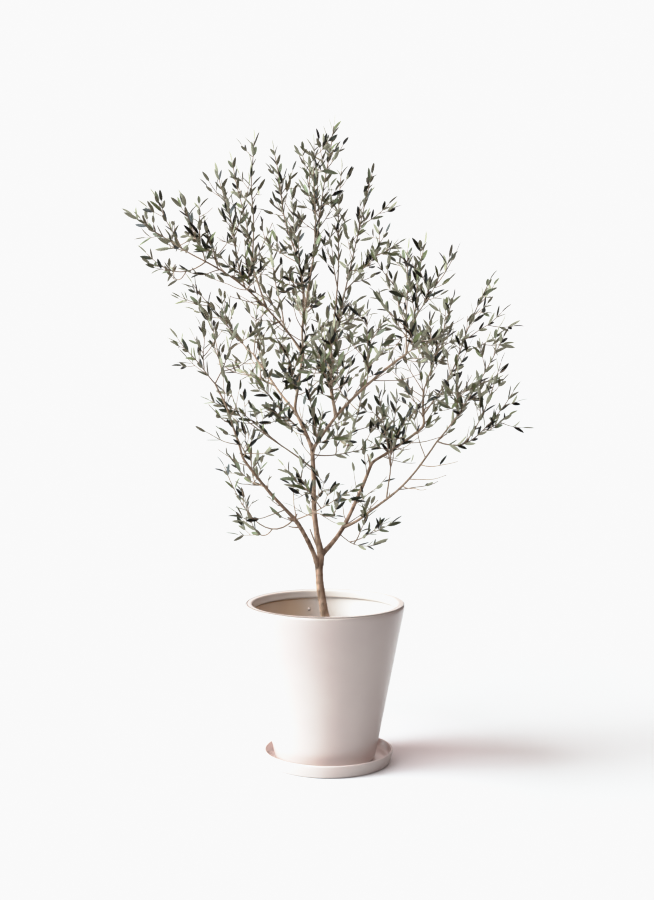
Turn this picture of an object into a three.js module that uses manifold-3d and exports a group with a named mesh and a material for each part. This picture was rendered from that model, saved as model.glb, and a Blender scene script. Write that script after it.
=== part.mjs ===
// A young olive tree in a round glazed pot with its saucer.
// Millimetres, +Z up, +X to the right and +Y away from the front.
// The origin is the centre of the saucer's flat underside, on the floor.

import * as THREE from 'three';
import { mergeVertices } from 'three/addons/utils/BufferGeometryUtils.js';
import Module from 'manifold-3d';

const wasm = await Module();
wasm.setup();

// Sizes

const CLEAR = 0.3;          // gap kept between pieces that touch
const AROUND = 32;          // facets round the pot and the saucer
const POT_OFFSET = -5.7;    // the pot stands a little left of the saucer's centre

const SAUCER_RIM = 109.7;   // radius over the thin rolled rim
const SAUCER_FOOT = 104.7;  // radius of the flat underside
const SAUCER_TALL = 22.2;
const SAUCER_FLOOR = 7.7;   // thickness of the plate under the pot

const POT_BASE = SAUCER_FLOOR + CLEAR;
const POT_FOOT = 84.5;      // radius of the foot
const POT_MOUTH = 135.0;    // largest radius, just below the lip's crest
const POT_TOP = 273.0;
const POT_WALL = 8.0;
const POT_PLATE = 14.0;     // thickness of the pot's bottom
const LIP_INNER = 121.2;    // radius of the lip's inner face
const LIP_DEEP = 13.5;      // from the crest down to the lip's under edge

const SOIL_TOP = 220.0;

const TRUNK_FOOT = SOIL_TOP + CLEAR;

// The trunk leans and kinks a little at each fork: the middle of its section
// there and its radius, which is widest in the root flare at the soil.
const TRUNK = [
  [2, 0, TRUNK_FOOT, 12.4],
  [0, 0, 228, 8.8],
  [-7, 0, 255, 7.1],
  [-14, 0, 300, 6.4],
  [-16, 0, 330, 6.5],
  [-12, 0, 354, 6.0],
  [-19, 3, 385, 4.8],
  [-24, 6, 425, 4.1],
  [-25, 11, 490, 3.7],
  [-27, 14, 530, 3.4],
];

// Each limb: the piece it springs from and how far along, its length, its bearing
// (degrees from the right towards the back), its rise from level, how deep it
// sags, how far it swings to its left, and its radius at the base and at the tip.
const LIMBS = [
  ['left_foot', 'trunk', 4 / 9, 105, -138, 59, -5, 3, 4, 3.4],
  ['left_bough', 'left_foot', 1, 145, -147, 47, 3, -3, 3, 2],
  ['left_rise', 'left_bough', 1, 130, -148, 68, 4, 12, 1.9, 1.3],
  ['right_bough', 'trunk', 5 / 9, 185, 35, 55, 20, 0, 4, 2.7],
  ['right_arm', 'right_bough', 1, 115, 21, 31, 3, 0, 2.6, 2.3],
  ['right_rise', 'right_arm', 1, 65, 91, 77, 0, 2, 2.2, 1.7],
  ['low_right_bough', 'right_bough', 0.42, 240, -35, 40, 24, -4, 2.4, 1.4],
  ['leader_low', 'trunk', 1, 75, 144, 60, -2, -2, 3.3, 2.6],
  ['leader_mid', 'leader_low', 1, 100, -28, 80, 0, -1, 2.5, 1.9],
  ['leader_top', 'leader_mid', 1, 80, -72, 80, 0, -4, 1.8, 1.4],
  ['mid_left_bough', 'leader_low', 1, 145, 131, 40, 3, 0, 2, 1.5],
  ['upper_left_bough', 'leader_mid', 1, 240, -145, 38, -14, 6, 1.7, 1.2],
  ['centre_right_bough', 'trunk', 1, 260, -42, 39, -14, -4, 2.6, 1.8],
  ['centre_rise', 'centre_right_bough', 0.28, 175, 92, 48, 6, 6, 2, 1.5],
];

// Each foliage mass: the limb it springs from and how far along, the sag of its
// shoots, how much of the stem is bare, the side twigs on each shoot, and its
// shoots as reach, bearing and rise. The first shoot is the stem and the others
// fork from it. The reach ends at the tip of the last leaf.
const MASSES = [
  ['low_left_whip', 'left_foot', 1, 52, 0.5, 1, [[170, -170, 37], [95, 161, 44]]],
  ['low_left_tuft', 'left_bough', 0.55, 8, 0.35, 1, [[95, 148, 30], [90, 103, 43]]],
  ['low_mid_spray', 'left_foot', 0.97, 4, 0.45, 0, [[155, -33, 27], [70, -41, -4], [105, -134, 49]]],
  ['left_fan', 'left_bough', 1, 4, 0.3, 1, [[100, -72, 31], [90, -122, 54]]],
  ['left_tip', 'left_rise', 1, 2, 0.1, 1, [[120, -154, 49], [90, -84, 73]]],
  ['left_inner', 'left_rise', 1, 6, 0.25, 1, [[120, 59, 56], [125, 116, 61]]],
  ['cross_left', 'trunk', 0.91, -8, 0.62, 1, [[235, -168, 34], [165, -130, 29]]],
  ['cross_left_rise', 'leader_low', 0.3, 3, 0.35, 1, [[205, -122, 34], [165, -106, 13]]],
  ['mid_left_rise', 'mid_left_bough', 1, 0, 0.25, 1, [[115, 78, 74], [90, 47, 1]]],
  ['mid_left_out', 'mid_left_bough', 1, 6, 0.3, 1, [[135, 141, 45], [160, -167, 50]]],
  ['mid_left_back', 'mid_left_bough', 0.5, 4, 0.35, 1, [[180, 121, 12], [150, 92, 35]]],
  ['far_left_low', 'upper_left_bough', 1, 22, 0.35, 0, [[120, -166, 7], [60, 154, 0]]],
  ['far_left', 'upper_left_bough', 1, 4, 0.3, 1, [[165, 172, 32], [115, -144, 59]]],
  ['upper_left_fan', 'upper_left_bough', 1, 4, 0.1, 1, [[130, -128, 61], [115, 96, 51], [110, 105, 8]]],
  ['upper_left_knot', 'upper_left_bough', 0.8, 2, 0.25, 1, [[100, 136, 41], [135, -97, 27]]],
  ['upper_left_rise', 'upper_left_bough', 0.62, 3, 0.35, 1, [[215, 155, 75], [105, -103, 59]]],
  ['upper_left_crest', 'upper_left_bough', 0.42, 6, 0.4, 1, [[275, 140, 73], [235, 88, 78]]],
  ['upper_left_front', 'upper_left_bough', 0.6, 4, 0.3, 1, [[155, -84, 15], [110, -106, 18]]],
  ['upper_left_back', 'leader_mid', 0.95, 4, 0.35, 1, [[245, 133, 48], [210, 103, 50]]],
  ['crest_left', 'leader_top', 1, 4, 0.4, 1, [[300, 133, 73], [150, 99, 59]]],
  ['crest', 'leader_top', 1, 4, 0.35, 2, [[325, 6, 81], [195, -92, 76], [130, 156, 76]]],
  ['crest_right', 'centre_rise', 1, 4, 0.45, 1, [[310, -4, 87], [120, -149, 80]]],
  ['right_crest', 'centre_rise', 1, 8, 0.35, 1, [[315, 15, 76], [160, 36, 49], [70, -34, 16]]],
  ['crest_front', 'leader_top', 0.8, 3, 0.3, 1, [[190, -93, 48], [125, -105, 16]]],
  ['crest_inner', 'leader_top', 0.4, 3, 0.25, 0, [[155, 76, 59], [120, 101, 21], [105, -74, 12]]],
  ['heart_front', 'centre_right_bough', 0.3, 4, 0.2, 2, [[215, -95, 41], [160, -102, 29]]],
  ['heart_left', 'leader_mid', 0.4, 4, 0.2, 0, [[170, -97, 27], [115, -85, -5], [145, -75, 37]]],
  ['heart_right', 'centre_right_bough', 0.6, 4, 0.2, 0, [[110, -80, 62], [130, 92, 76], [85, 45, 43]]],
  ['heart_back', 'centre_rise', 0.6, 4, 0.2, 1, [[195, 96, 24], [195, 79, 32]]],
  ['heart_top', 'centre_rise', 1, 2, 0.15, 1, [[125, -69, 46], [95, 57, 17]]],
  ['heart_low', 'trunk', 0.97, 2, 0.25, 0, [[145, -78, 43], [85, -58, 14], [115, -113, 68]]],
  ['leader_tuft', 'trunk', 0.8, 2, 0.25, 1, [[95, -68, 42], [95, -136, 35]]],
  ['right_head', 'centre_right_bough', 1, 6, 0.2, 2, [[190, 81, 84], [105, 128, 64]]],
  ['right_head_mid', 'centre_right_bough', 1, 6, 0.2, 2, [[200, -44, 78], [120, -46, 54]]],
  ['right_head_low', 'centre_right_bough', 1, 6, 0.12, 0, [[90, -29, 50], [110, -103, 31], [70, 82, 11]]],
  ['right_fan', 'right_rise', 1, 6, 0.2, 2, [[190, -20, 72], [100, 76, 39], [105, 114, -7]]],
  ['right_fan_out', 'right_rise', 0.3, 14, 0.3, 1, [[285, -23, 63], [100, -28, 56]]],
  ['right_edge', 'low_right_bough', 1, 12, 0.2, 1, [[225, 9, 57], [85, -96, 58], [70, 129, 35]]],
  ['right_tail', 'low_right_bough', 1, 34, 0.1, 1, [[170, 0, 33], [175, -37, 62]]],
  ['low_right_rise', 'low_right_bough', 0.5, 0, 0.45, 0, [[200, -72, 75], [170, -107, 58], [135, -75, 39]]],
  ['low_right_tuft', 'right_bough', 0.34, 8, 0.3, 0, [[85, -15, -18], [105, -38, 29], [120, -62, 51]]],
  ['cross_right', 'trunk', 0.98, 10, 0.25, 0, [[160, 25, 7], [105, 82, 54], [165, 71, 43]]],
];

const LEAF_LONG = 46;
const LEAF_WIDE = 11;
const LEAF_THICK = 1.5;
const LEAF_FOOT = 0.0;     // the leaf's foot stands this far off the twig's centre line
const LEAF_STEP = 66;       // along a twig, from one pair of leaves to the next
const STEM_THICK = [1.9, 1.4];
const TWIG_THICK = [0.9, 1.0];
const TURN = 137.5;         // degrees from one side twig to the next round its shoot

// Materials

function paint(hex, roughness) {
  return new THREE.MeshStandardMaterial({ color: hex, roughness, metalness: 0 });
}

const GLAZE = paint(0xe9e1dc, 0.22);
const EARTH = paint(0x4a382c, 0.95);
const BARK = paint(0x9b8672, 0.85);
const FOLIAGE = paint(0x5f6b58, 0.6);

// Solids

function solidOf(geometry) {
  const bare = geometry.index ? geometry.toNonIndexed() : geometry.clone();
  bare.deleteAttribute('normal');
  bare.deleteAttribute('uv');
  const whole = mergeVertices(bare, 1e-4);
  const solid = new wasm.Manifold(new wasm.Mesh({
    numProp: 3,
    vertProperties: new Float32Array(whole.attributes.position.array),
    triVerts: new Uint32Array(whole.index.array),
  }));
  return solid;
}

function meshOf(solid, name, material) {
  const shape = solid.getMesh();
  const geometry = new THREE.BufferGeometry();
  geometry.setAttribute('position', new THREE.BufferAttribute(new Float32Array(shape.vertProperties), 3));
  geometry.setIndex(new THREE.BufferAttribute(new Uint32Array(shape.triVerts), 1));
  const flat = geometry.toNonIndexed();
  flat.computeVertexNormals();
  const mesh = new THREE.Mesh(flat, material);
  mesh.name = name;
  return mesh;
}

function largest(solid) {
  const pieces = solid.decompose();
  pieces.sort((a, b) => b.volume() - a.volume());
  return pieces[0];
}

// The same solid without the needless corners that joins leave on flat faces.
function tidied(solid) {
  return solid.asOriginal().simplify(0.03);
}

function joined(solids) {
  let row = solids;
  while (row.length > 1) {
    const next = [];
    for (let i = 0; i < row.length; i += 2) {
      next.push(i + 1 < row.length ? row[i].add(row[i + 1]) : row[i]);
    }
    row = next;
  }
  return row[0];
}

// Pot, saucer and soil

function turned(profile, name, material, x) {
  const points = profile.map(([r, z]) => new THREE.Vector2(r, z));
  const geometry = new THREE.LatheGeometry(points, AROUND);
  geometry.rotateX(Math.PI / 2);
  const mesh = new THREE.Mesh(geometry, material);
  mesh.name = name;
  mesh.position.x = x;
  return mesh;
}

// Radius of the pot's outer face: a cone that widens a little faster near the foot.
function potOuter(z) {
  const up = (z - POT_BASE) / (POT_TOP - 6 - POT_BASE);
  return POT_FOOT + (POT_MOUTH - POT_FOOT) * (0.97 * up + 0.03 * Math.sqrt(Math.max(up, 0)));
}

function potInner(z) {
  return potOuter(z) - POT_WALL;
}

function saucerProfile() {
  return [
    [0, 0],
    [SAUCER_FOOT, 0],
    [SAUCER_FOOT + 1.6, 1.8],
    [SAUCER_RIM - 0.6, SAUCER_TALL - 7],
    [SAUCER_RIM, SAUCER_TALL - 2],
    [SAUCER_RIM - 0.5, SAUCER_TALL - 0.5],
    [SAUCER_RIM - 1.6, SAUCER_TALL],
    [SAUCER_RIM - 2.8, SAUCER_TALL - 0.8],
    [SAUCER_RIM - 3.4, SAUCER_TALL - 3],
    [SAUCER_RIM - 5.6, SAUCER_FLOOR + 2.2],
    [SAUCER_RIM - 8.5, SAUCER_FLOOR],
    [0, SAUCER_FLOOR],
  ];
}

function potProfile() {
  const outer = [[0, POT_BASE], [POT_FOOT - 2.5, POT_BASE], [POT_FOOT, POT_BASE + 2]];
  for (const z of [40, 110, 190]) outer.push([potOuter(z), z]);
  const lip = [
    [POT_MOUTH, POT_TOP - 6],
    [POT_MOUTH - 0.8, POT_TOP - 2.4],
    [POT_MOUTH - 3, POT_TOP - 0.5],
    [POT_MOUTH - 6, POT_TOP],
    [LIP_INNER + 3.5, POT_TOP - 0.6],
    [LIP_INNER + 1, POT_TOP - 2.6],
    [LIP_INNER, POT_TOP - 6],
    [LIP_INNER, POT_TOP - LIP_DEEP],
    [potInner(POT_TOP - LIP_DEEP - 1.5), POT_TOP - LIP_DEEP - 1.5],
  ];
  const floor = POT_BASE + POT_PLATE;
  const inner = [SOIL_TOP, 120, floor + 6].map((z) => [potInner(z), z]);
  return [...outer, ...lip, ...inner, [potInner(floor) - 6, floor], [0, floor]];
}

function soilProfile() {
  const floor = POT_BASE + POT_PLATE;
  const wall = [floor + 6 + CLEAR, 120, SOIL_TOP].map((z) => [potInner(z) - CLEAR, z]);
  return [[0, floor + CLEAR], [potInner(floor) - 6 - CLEAR, floor + CLEAR], ...wall, [0, SOIL_TOP]];
}

// Limbs

const UP = new THREE.Vector3(0, 0, 1);

// A line of straight stretches from knot to knot, each with an even share of t.
class Line extends THREE.Curve {
  constructor(knots) {
    super();
    this.knots = knots;
    this.steps = knots.length - 1;
  }

  getPoint(t, target = new THREE.Vector3()) {
    const x = THREE.MathUtils.clamp(t, 0, 1) * this.steps;
    const k = Math.min(Math.floor(x), this.steps - 1);
    return target.copy(this.knots[k]).lerp(this.knots[k + 1], x - k);
  }

  getPointAt(t, target) {
    return this.getPoint(t, target);
  }

  getTangentAt(t, target) {
    return this.getTangent(t, target);
  }

  heading(t) {
    const k = Math.min(Math.floor(THREE.MathUtils.clamp(t, 0, 1) * this.steps), this.steps - 1);
    return this.knots[k + 1].clone().sub(this.knots[k]).normalize();
  }
}

function reached(start, reach, bearing, rise) {
  const b = THREE.MathUtils.degToRad(bearing);
  const e = THREE.MathUtils.degToRad(rise);
  const way = new THREE.Vector3(Math.cos(e) * Math.cos(b), Math.cos(e) * Math.sin(b), Math.sin(e));
  return start.clone().addScaledVector(way, reach);
}

// The straight line from start to tip plus a parabola that stands off it by the
// sag and the swing at mid-length, followed in even steps.
function bowed(start, tip, sag, swing, steps) {
  const side = new THREE.Vector3(start.y - tip.y, tip.x - start.x, 0).normalize();
  const bow = side.multiplyScalar(swing).addScaledVector(UP, -sag);
  const knots = [];
  for (let k = 0; k <= steps; k += 1) {
    const t = k / steps;
    knots.push(start.clone().lerp(tip, t).addScaledVector(bow, 4 * t * (1 - t)));
  }
  return new Line(knots);
}

// A limb's solid: a many-sided section carried along the line and then widened
// at each step to the radius the limb has there. grow widens it all over, and
// root carries its foot on by that much.
function tube(line, radiusAt, sides, grow = 0, root = 0) {
  const fine = 0.3;
  const { steps } = line;
  const section = new THREE.Shape();
  for (let i = 0; i < sides; i += 1) {
    const a = (i / sides) * 2 * Math.PI;
    const x = fine * Math.cos(a);
    const y = fine * Math.sin(a);
    if (i === 0) section.moveTo(x, y);
    else section.lineTo(x, y);
  }
  section.closePath();
  const geometry = new THREE.ExtrudeGeometry(section, { steps, bevelEnabled: false, extrudePath: line });
  const place = geometry.attributes.position;
  const point = new THREE.Vector3();
  const wider = grow / Math.cos(Math.PI / sides);
  for (let v = 0; v < place.count; v += 1) {
    point.fromBufferAttribute(place, v);
    let near = 0;
    for (let k = 1; k <= steps; k += 1) {
      if (point.distanceToSquared(line.knots[k]) < point.distanceToSquared(line.knots[near])) near = k;
    }
    const radius = radiusAt(near / steps) + wider;
    point.sub(line.knots[near]).multiplyScalar(radius / fine).add(line.knots[near]);
    if (near === 0) point.addScaledVector(line.heading(0), -grow - root);
    if (near === steps) point.addScaledVector(line.heading(1), grow);
    place.setXYZ(v, point.x, point.y, point.z);
  }
  return solidOf(geometry);
}

function taper(base, tip) {
  return (t) => base + (tip - base) * t;
}

function trunkRadius(t) {
  const x = t * (TRUNK.length - 1);
  const k = Math.min(Math.floor(x), TRUNK.length - 2);
  return taper(TRUNK[k][3], TRUNK[k + 1][3])(x - k);
}

const trunkLine = new Line(TRUNK.map(([x, y, z]) => new THREE.Vector3(x, y, z)));

// The trunk is carried on below the soil and then cut flat at its foot.
function trunkSolid() {
  const whole = tube(trunkLine, trunkRadius, 10, 0, 4);
  const [x, y, z, radius] = TRUNK[0];
  const block = new THREE.BoxGeometry(4 * radius, 4 * radius, 30);
  block.translate(x, y, z - 15);
  return whole.subtract(solidOf(block));
}

const limbs = new Map();
limbs.set('trunk', { line: trunkLine, radiusAt: trunkRadius, sides: 10 });
for (const [name, from, at, length, bearing, rise, sag, swing, thick, thin] of LIMBS) {
  const start = limbs.get(from).line.getPoint(at);
  const line = bowed(start, reached(start, length, bearing, rise), sag, swing, 5);
  limbs.set(name, { line, radiusAt: taper(thick, thin), sides: 5 });
}

function boxesMeet(a, b) {
  const p = a.boundingBox();
  const q = b.boundingBox();
  return [0, 1, 2].every((i) => p.min[i] <= q.max[i] && q.min[i] <= p.max[i]);
}

function cutBy(solid, cutters) {
  let rest = solid;
  for (const cutter of cutters) {
    if (boxesMeet(rest, cutter)) rest = rest.subtract(cutter);
  }
  return rest;
}

// Foliage masses

// A plain seeded counter that always deals the same numbers.
class Dice {
  constructor(seed) {
    this.state = seed;
  }

  roll() {
    this.state = (this.state * 16807) % 2147483647;
    return (this.state - 1) / 2147483646;
  }
}

// Closest distance between the stretches a-b and c-d.
function stretchGap(a, b, c, d) {
  const u = b.clone().sub(a);
  const v = d.clone().sub(c);
  const w = a.clone().sub(c);
  const uu = u.dot(u);
  const uv = u.dot(v);
  const vv = v.dot(v);
  const uw = u.dot(w);
  const vw = v.dot(w);
  const det = uu * vv - uv * uv;
  let s = det > 1e-9 ? THREE.MathUtils.clamp((uv * vw - vv * uw) / det, 0, 1) : 0;
  const t = THREE.MathUtils.clamp((uv * s + vw) / vv, 0, 1);
  s = THREE.MathUtils.clamp((uv * t - uw) / uu, 0, 1);
  return w.addScaledVector(u, s).addScaledVector(v, -t).length();
}

function pointGap(p, c, d) {
  const v = d.clone().sub(c);
  const t = THREE.MathUtils.clamp(p.clone().sub(c).dot(v) / v.dot(v), 0, 1);
  return p.distanceTo(c.clone().addScaledVector(v, t));
}

function stretches(line) {
  return line.knots.slice(1).map((p, k) => [line.knots[k], p, k / line.steps]);
}

// The leading shoots of every mass come first, because a mass's own space is
// where its own shoots are nearer than any other mass's.
function leadsOf(row) {
  const [, from, at, sag, , , shoots] = row;
  const root = limbs.get(from).line.getPoint(at);
  const leads = [];
  shoots.forEach(([reach, bearing, rise], k) => {
    const start = k === 0 ? root : leads[0].getPoint(0.2 + 0.12 * k);
    const tip = reached(start, reach - 0.85 * LEAF_LONG, bearing, rise);
    leads.push(bowed(start, tip, k === 0 ? sag : 0.6 * sag, 0, sag > 15 ? 6 : 3));
  });
  return leads;
}

const masses = MASSES.map((row, index) => ({ index, row, leads: leadsOf(row) }));
const stemParts = masses.map((mass) => mass.leads.flatMap(stretches));
const limbParts = [...limbs.values()].flatMap(({ line, radiusAt }) => (
  stretches(line).map(([a, b, t]) => [a, b, radiusAt(t)])
));

function ownSpace(index, points, margin) {
  return points.every((p) => {
    const mine = Math.min(...stemParts[index].map(([a, b]) => pointGap(p, a, b)));
    return stemParts.every((parts, other) => (
      other === index || parts.every(([a, b]) => pointGap(p, a, b) > mine + margin)
    ));
  });
}

function clearOfLimbs(a, b, margin) {
  return limbParts.every(([c, d, radius]) => stretchGap(a, b, c, d) > radius + margin);
}

// Two directions square to a heading.
function across(way) {
  const flat = Math.abs(way.z) < 0.95 ? UP : new THREE.Vector3(1, 0, 0);
  const side = way.clone().cross(flat).normalize();
  return [side, side.clone().cross(way)];
}

function leaning(way, angle, out, lift) {
  const made = way.clone().multiplyScalar(Math.cos(angle)).addScaledVector(out, Math.sin(angle));
  return made.addScaledVector(UP, lift).normalize();
}

function growTwigs(mass) {
  const [, , , , bare, count] = mass.row;
  const dice = new Dice(7001 + 613 * mass.index);
  const twigs = mass.leads.map((line, k) => ({ line, bare: k === 0 ? bare : 0.15, lead: true }));
  let turn = 360 * dice.roll();
  mass.leads.forEach((line, k) => {
    const low = k === 0 ? bare : 0.2;
    for (let j = 0; j < count; j += 1) {
      const f = low + ((0.86 - low) * (j + 0.3 + 0.4 * dice.roll())) / count;
      const angle = THREE.MathUtils.degToRad(34 + 16 * dice.roll());
      const share = 0.8 + 0.4 * dice.roll();
      turn += TURN;
      const a = THREE.MathUtils.degToRad(turn);
      const base = line.getPoint(f);
      const way = line.heading(f);
      const [side, over] = across(way);
      const out = side.multiplyScalar(Math.cos(a)).addScaledVector(over, Math.sin(a));
      const grown = leaning(way, angle, out, 0.15);
      let span = THREE.MathUtils.clamp(0.42 * line.getLength() * (1 - 0.45 * f) * share, 30, 80);
      for (let tries = 0; tries < 3; tries += 1) {
        const tip = base.clone().addScaledVector(grown, span);
        const middle = base.clone().addScaledVector(grown, 0.5 * span);
        const first = base.clone().addScaledVector(grown, 0.2 * span);
        if (ownSpace(mass.index, [middle, tip], 3) && clearOfLimbs(first, tip, 2)) {
          twigs.push({ line: bowed(base, tip, 0, 0, 1), bare: 0.3, lead: false });
          break;
        }
        span *= 0.72;
      }
    }
  });
  return twigs;
}

// Leaves stand in opposite pairs, each pair a quarter turn on from the last, and
// one leaf ends the twig.
function growLeaves(mass, twigs) {
  const dice = new Dice(90001 + 389 * mass.index);
  const leaves = [];
  const tryLeaf = (base, way, wide, long) => {
    const tip = base.clone().addScaledVector(way, long);
    const middle = base.clone().addScaledVector(way, 0.5 * long);
    const near = base.clone().addScaledVector(way, 0.25 * long);
    const rim = 0.5 * LEAF_WIDE;
    const edge = [middle.clone().addScaledVector(wide, rim), middle.clone().addScaledVector(wide, -rim)];
    if (!ownSpace(mass.index, [middle, tip, ...edge], 1.6)) return;
    if (!clearOfLimbs(near, tip, 3.2)) return;
    leaves.push({ base, way, wide, long });
  };
  for (const twig of twigs) {
    const length = twig.line.getLength() * (1 - twig.bare);
    const count = Math.max(1, Math.round(length / LEAF_STEP));
    const first = 180 * dice.roll();
    for (let j = 0; j < count; j += 1) {
      const f = twig.bare + ((1 - twig.bare) * (j + 0.4)) / count;
      const base = twig.line.getPoint(f);
      const way = twig.line.heading(f);
      const [side, over] = across(way);
      for (const half of [0, 180]) {
        const angle = THREE.MathUtils.degToRad(26 + 20 * dice.roll());
        const long = LEAF_LONG * (0.82 + 0.28 * dice.roll());
        const a = THREE.MathUtils.degToRad(first + 90 * j + half);
        const out = side.clone().multiplyScalar(Math.cos(a)).addScaledVector(over, Math.sin(a));
        const wide = way.clone().cross(out).normalize();
        const foot = base.clone().addScaledVector(out, LEAF_FOOT);
        tryLeaf(foot, leaning(way, angle, out, 0.06), wide, long);
      }
    }
    const way = twig.line.heading(1);
    const [side] = across(way);
    const end = twig.line.getPoint(1).addScaledVector(way, -0.8);
    tryLeaf(end, way, side, LEAF_LONG * (0.85 + 0.15 * dice.roll()));
  }
  return leaves;
}

// A leaf: pointed at both ends, flat above and keeled below, six faces in all.
function leafSolid({ base, way, wide, long }) {
  const geometry = new THREE.SphereGeometry(1, 3, 2);
  const width = wide.clone().addScaledVector(way, -wide.dot(way)).normalize();
  const face = way.clone().cross(width);
  const frame = new THREE.Matrix4().makeBasis(
    face.multiplyScalar(LEAF_THICK / 1.5),
    way.clone().multiplyScalar(long / 2),
    width.multiplyScalar(LEAF_WIDE / Math.sqrt(3)),
  );
  frame.setPosition(base.clone().addScaledVector(way, 0.5 * long));
  geometry.applyMatrix4(frame);
  return solidOf(geometry);
}

// Assembly

const tree = new THREE.Group();
tree.add(turned(saucerProfile(), 'saucer', GLAZE, 0));
tree.add(turned(potProfile(), 'pot', GLAZE, POT_OFFSET));
tree.add(turned(soilProfile(), 'soil', EARTH, POT_OFFSET));

const cutters = [];
for (const [name, { line, radiusAt, sides }] of limbs) {
  const made = name === 'trunk' ? trunkSolid() : tube(line, radiusAt, sides);
  tree.add(meshOf(largest(tidied(cutBy(made, cutters))), name, BARK));
  cutters.push(tube(line, radiusAt, sides, CLEAR));
}

for (const mass of masses) {
  const twigs = growTwigs(mass);
  const leaves = growLeaves(mass, twigs);
  const stems = twigs.map(({ line, lead }) => (
    tube(line, taper(...(lead ? STEM_THICK : TWIG_THICK)), 3)
  ));
  const whole = joined([tidied(joined(stems)), ...leaves.map(leafSolid)]);
  tree.add(meshOf(largest(tidied(cutBy(whole, cutters))), mass.row[0], FOLIAGE));
  for (const line of mass.leads) cutters.push(tube(line, taper(...STEM_THICK), 3, CLEAR));
}

export default tree;
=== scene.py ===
# %% [markdown]
# Young olive tree in a glazed pot
#
# The object is a young olive tree with a slim, forked trunk and an open crown of
# narrow leaves. It stands in a tall, tapered pot, and the pot in a round saucer.
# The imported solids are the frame: they say where each thing is and how far it
# reaches. This lesson dresses them, one kind of thing at a time.
#
# Numbers in the tables are millimetres, as on the drawing, and MM turns them into
# Blender's metres.

# %% Load the frame
import math
import bpy
import numpy as np
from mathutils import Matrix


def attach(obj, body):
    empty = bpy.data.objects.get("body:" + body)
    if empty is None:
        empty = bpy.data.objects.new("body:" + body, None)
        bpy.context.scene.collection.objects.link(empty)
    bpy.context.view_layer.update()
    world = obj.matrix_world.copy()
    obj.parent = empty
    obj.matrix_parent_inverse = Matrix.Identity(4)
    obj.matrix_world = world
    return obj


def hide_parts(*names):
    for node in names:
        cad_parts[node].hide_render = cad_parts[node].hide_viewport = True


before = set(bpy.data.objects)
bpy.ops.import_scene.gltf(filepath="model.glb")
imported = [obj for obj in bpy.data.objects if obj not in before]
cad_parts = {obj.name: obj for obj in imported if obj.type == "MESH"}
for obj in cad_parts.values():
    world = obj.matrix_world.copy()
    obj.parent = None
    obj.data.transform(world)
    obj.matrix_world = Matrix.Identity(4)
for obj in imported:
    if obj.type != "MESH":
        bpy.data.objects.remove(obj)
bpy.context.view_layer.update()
MM = 0.001

# %% [markdown]
# The helpers
#
# Every new piece is a surface worked out as whole arrays and then handed to a
# mesh. One helper does the handing over, so each piece is smooth, rides on the
# one body, takes its finishes, and hides the solids it stands for.


# %% Make a piece from arrays
def make_piece(name, points, faces, finishes, looks=None, replaces=()):
    """A mesh object from an array of points in millimetres and arrays of corners.
    looks gives each face the number of its finish. All faces are smooth."""
    mesh = bpy.data.meshes.new(name)
    corners = [face for group in faces for face in group.tolist()]
    mesh.from_pydata((points * MM).tolist(), [], corners)
    for finish in finishes:
        mesh.materials.append(finish)
    if looks is not None:
        mesh.polygons.foreach_set("material_index", np.asarray(looks, np.int32))
    mesh.polygons.foreach_set("use_smooth", np.ones(len(mesh.polygons), bool))
    mesh.update()
    piece = bpy.data.objects.new(name, mesh)
    bpy.context.scene.collection.objects.link(piece)
    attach(piece, "root")
    if replaces:
        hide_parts(*replaces)
    mesh.calc_loop_triangles()
    print(name, "has", len(mesh.loop_triangles), "triangles")
    return piece


def unit(v):
    """Each vector divided by its own length."""
    return v / np.maximum(np.linalg.norm(v, axis=-1, keepdims=True), 1e-12)


print("the unit vector along (3, 4, 0):", unit(np.array([3.0, 4.0, 0.0])))

# %% [markdown]
# Finishes from shared groups
#
# Glaze, earth, bark and leaf all drift a little in tone, and all have a fine
# relief of their own. Two node groups hold those effects, and each finish sets
# them with its own colours and scales.

# %% The two shared groups
COLOUR = "NodeSocketColor"
NUMBER = "NodeSocketFloat"
VECTOR = "NodeSocketVector"
NOISE_ENDS = (0.34, 0.66)
# a mix node keeps its sockets for colours after those for numbers and vectors
MIX_FIRST, MIX_SECOND, MIX_RESULT = 6, 7, 2


def add_node(tree, kind, inputs=None, **settings):
    """A new node with these settings. Each input is fed by a socket or set to a value."""
    node = tree.nodes.new(kind)
    for name, value in settings.items():
        setattr(node, name, value)
    for label, value in (inputs or {}).items():
        if isinstance(value, bpy.types.NodeSocket):
            tree.links.new(value, node.inputs[label])
        else:
            node.inputs[label].default_value = value
    return node


def colour_mix(tree, share, first, second):
    """The mix of two colours by a share. Each colour is a socket or a fixed value."""
    inputs = {0: share, MIX_FIRST: first, MIX_SECOND: second}
    return add_node(tree, "ShaderNodeMix", inputs, data_type="RGBA").outputs[MIX_RESULT]


def noise_group(name, inputs, output, kind, detail):
    """A group with named inputs and one output. Inside it stands a noise on Object
    coordinates, drawn out by the input Stretch and sized by the input Scale."""
    group = bpy.data.node_groups.new(name, "ShaderNodeTree")
    inputs = [*inputs, ("Scale", NUMBER, 100.0), ("Stretch", VECTOR, (1, 1, 1))]
    for label, socket_kind, value in inputs:
        socket = group.interface.new_socket(label, in_out="INPUT", socket_type=socket_kind)
        socket.default_value = value
    group.interface.new_socket(output, in_out="OUTPUT", socket_type=kind)
    start = add_node(group, "NodeGroupInput").outputs
    place = add_node(group, "ShaderNodeTexCoord").outputs["Object"]
    drawn = add_node(group, "ShaderNodeMapping", {"Vector": place, "Scale": start["Stretch"]})
    noise = add_node(group, "ShaderNodeTexNoise", {
        "Vector": drawn.outputs["Vector"], "Scale": start["Scale"], "Detail": detail,
    })
    return group, start, noise.outputs["Fac"]


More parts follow.
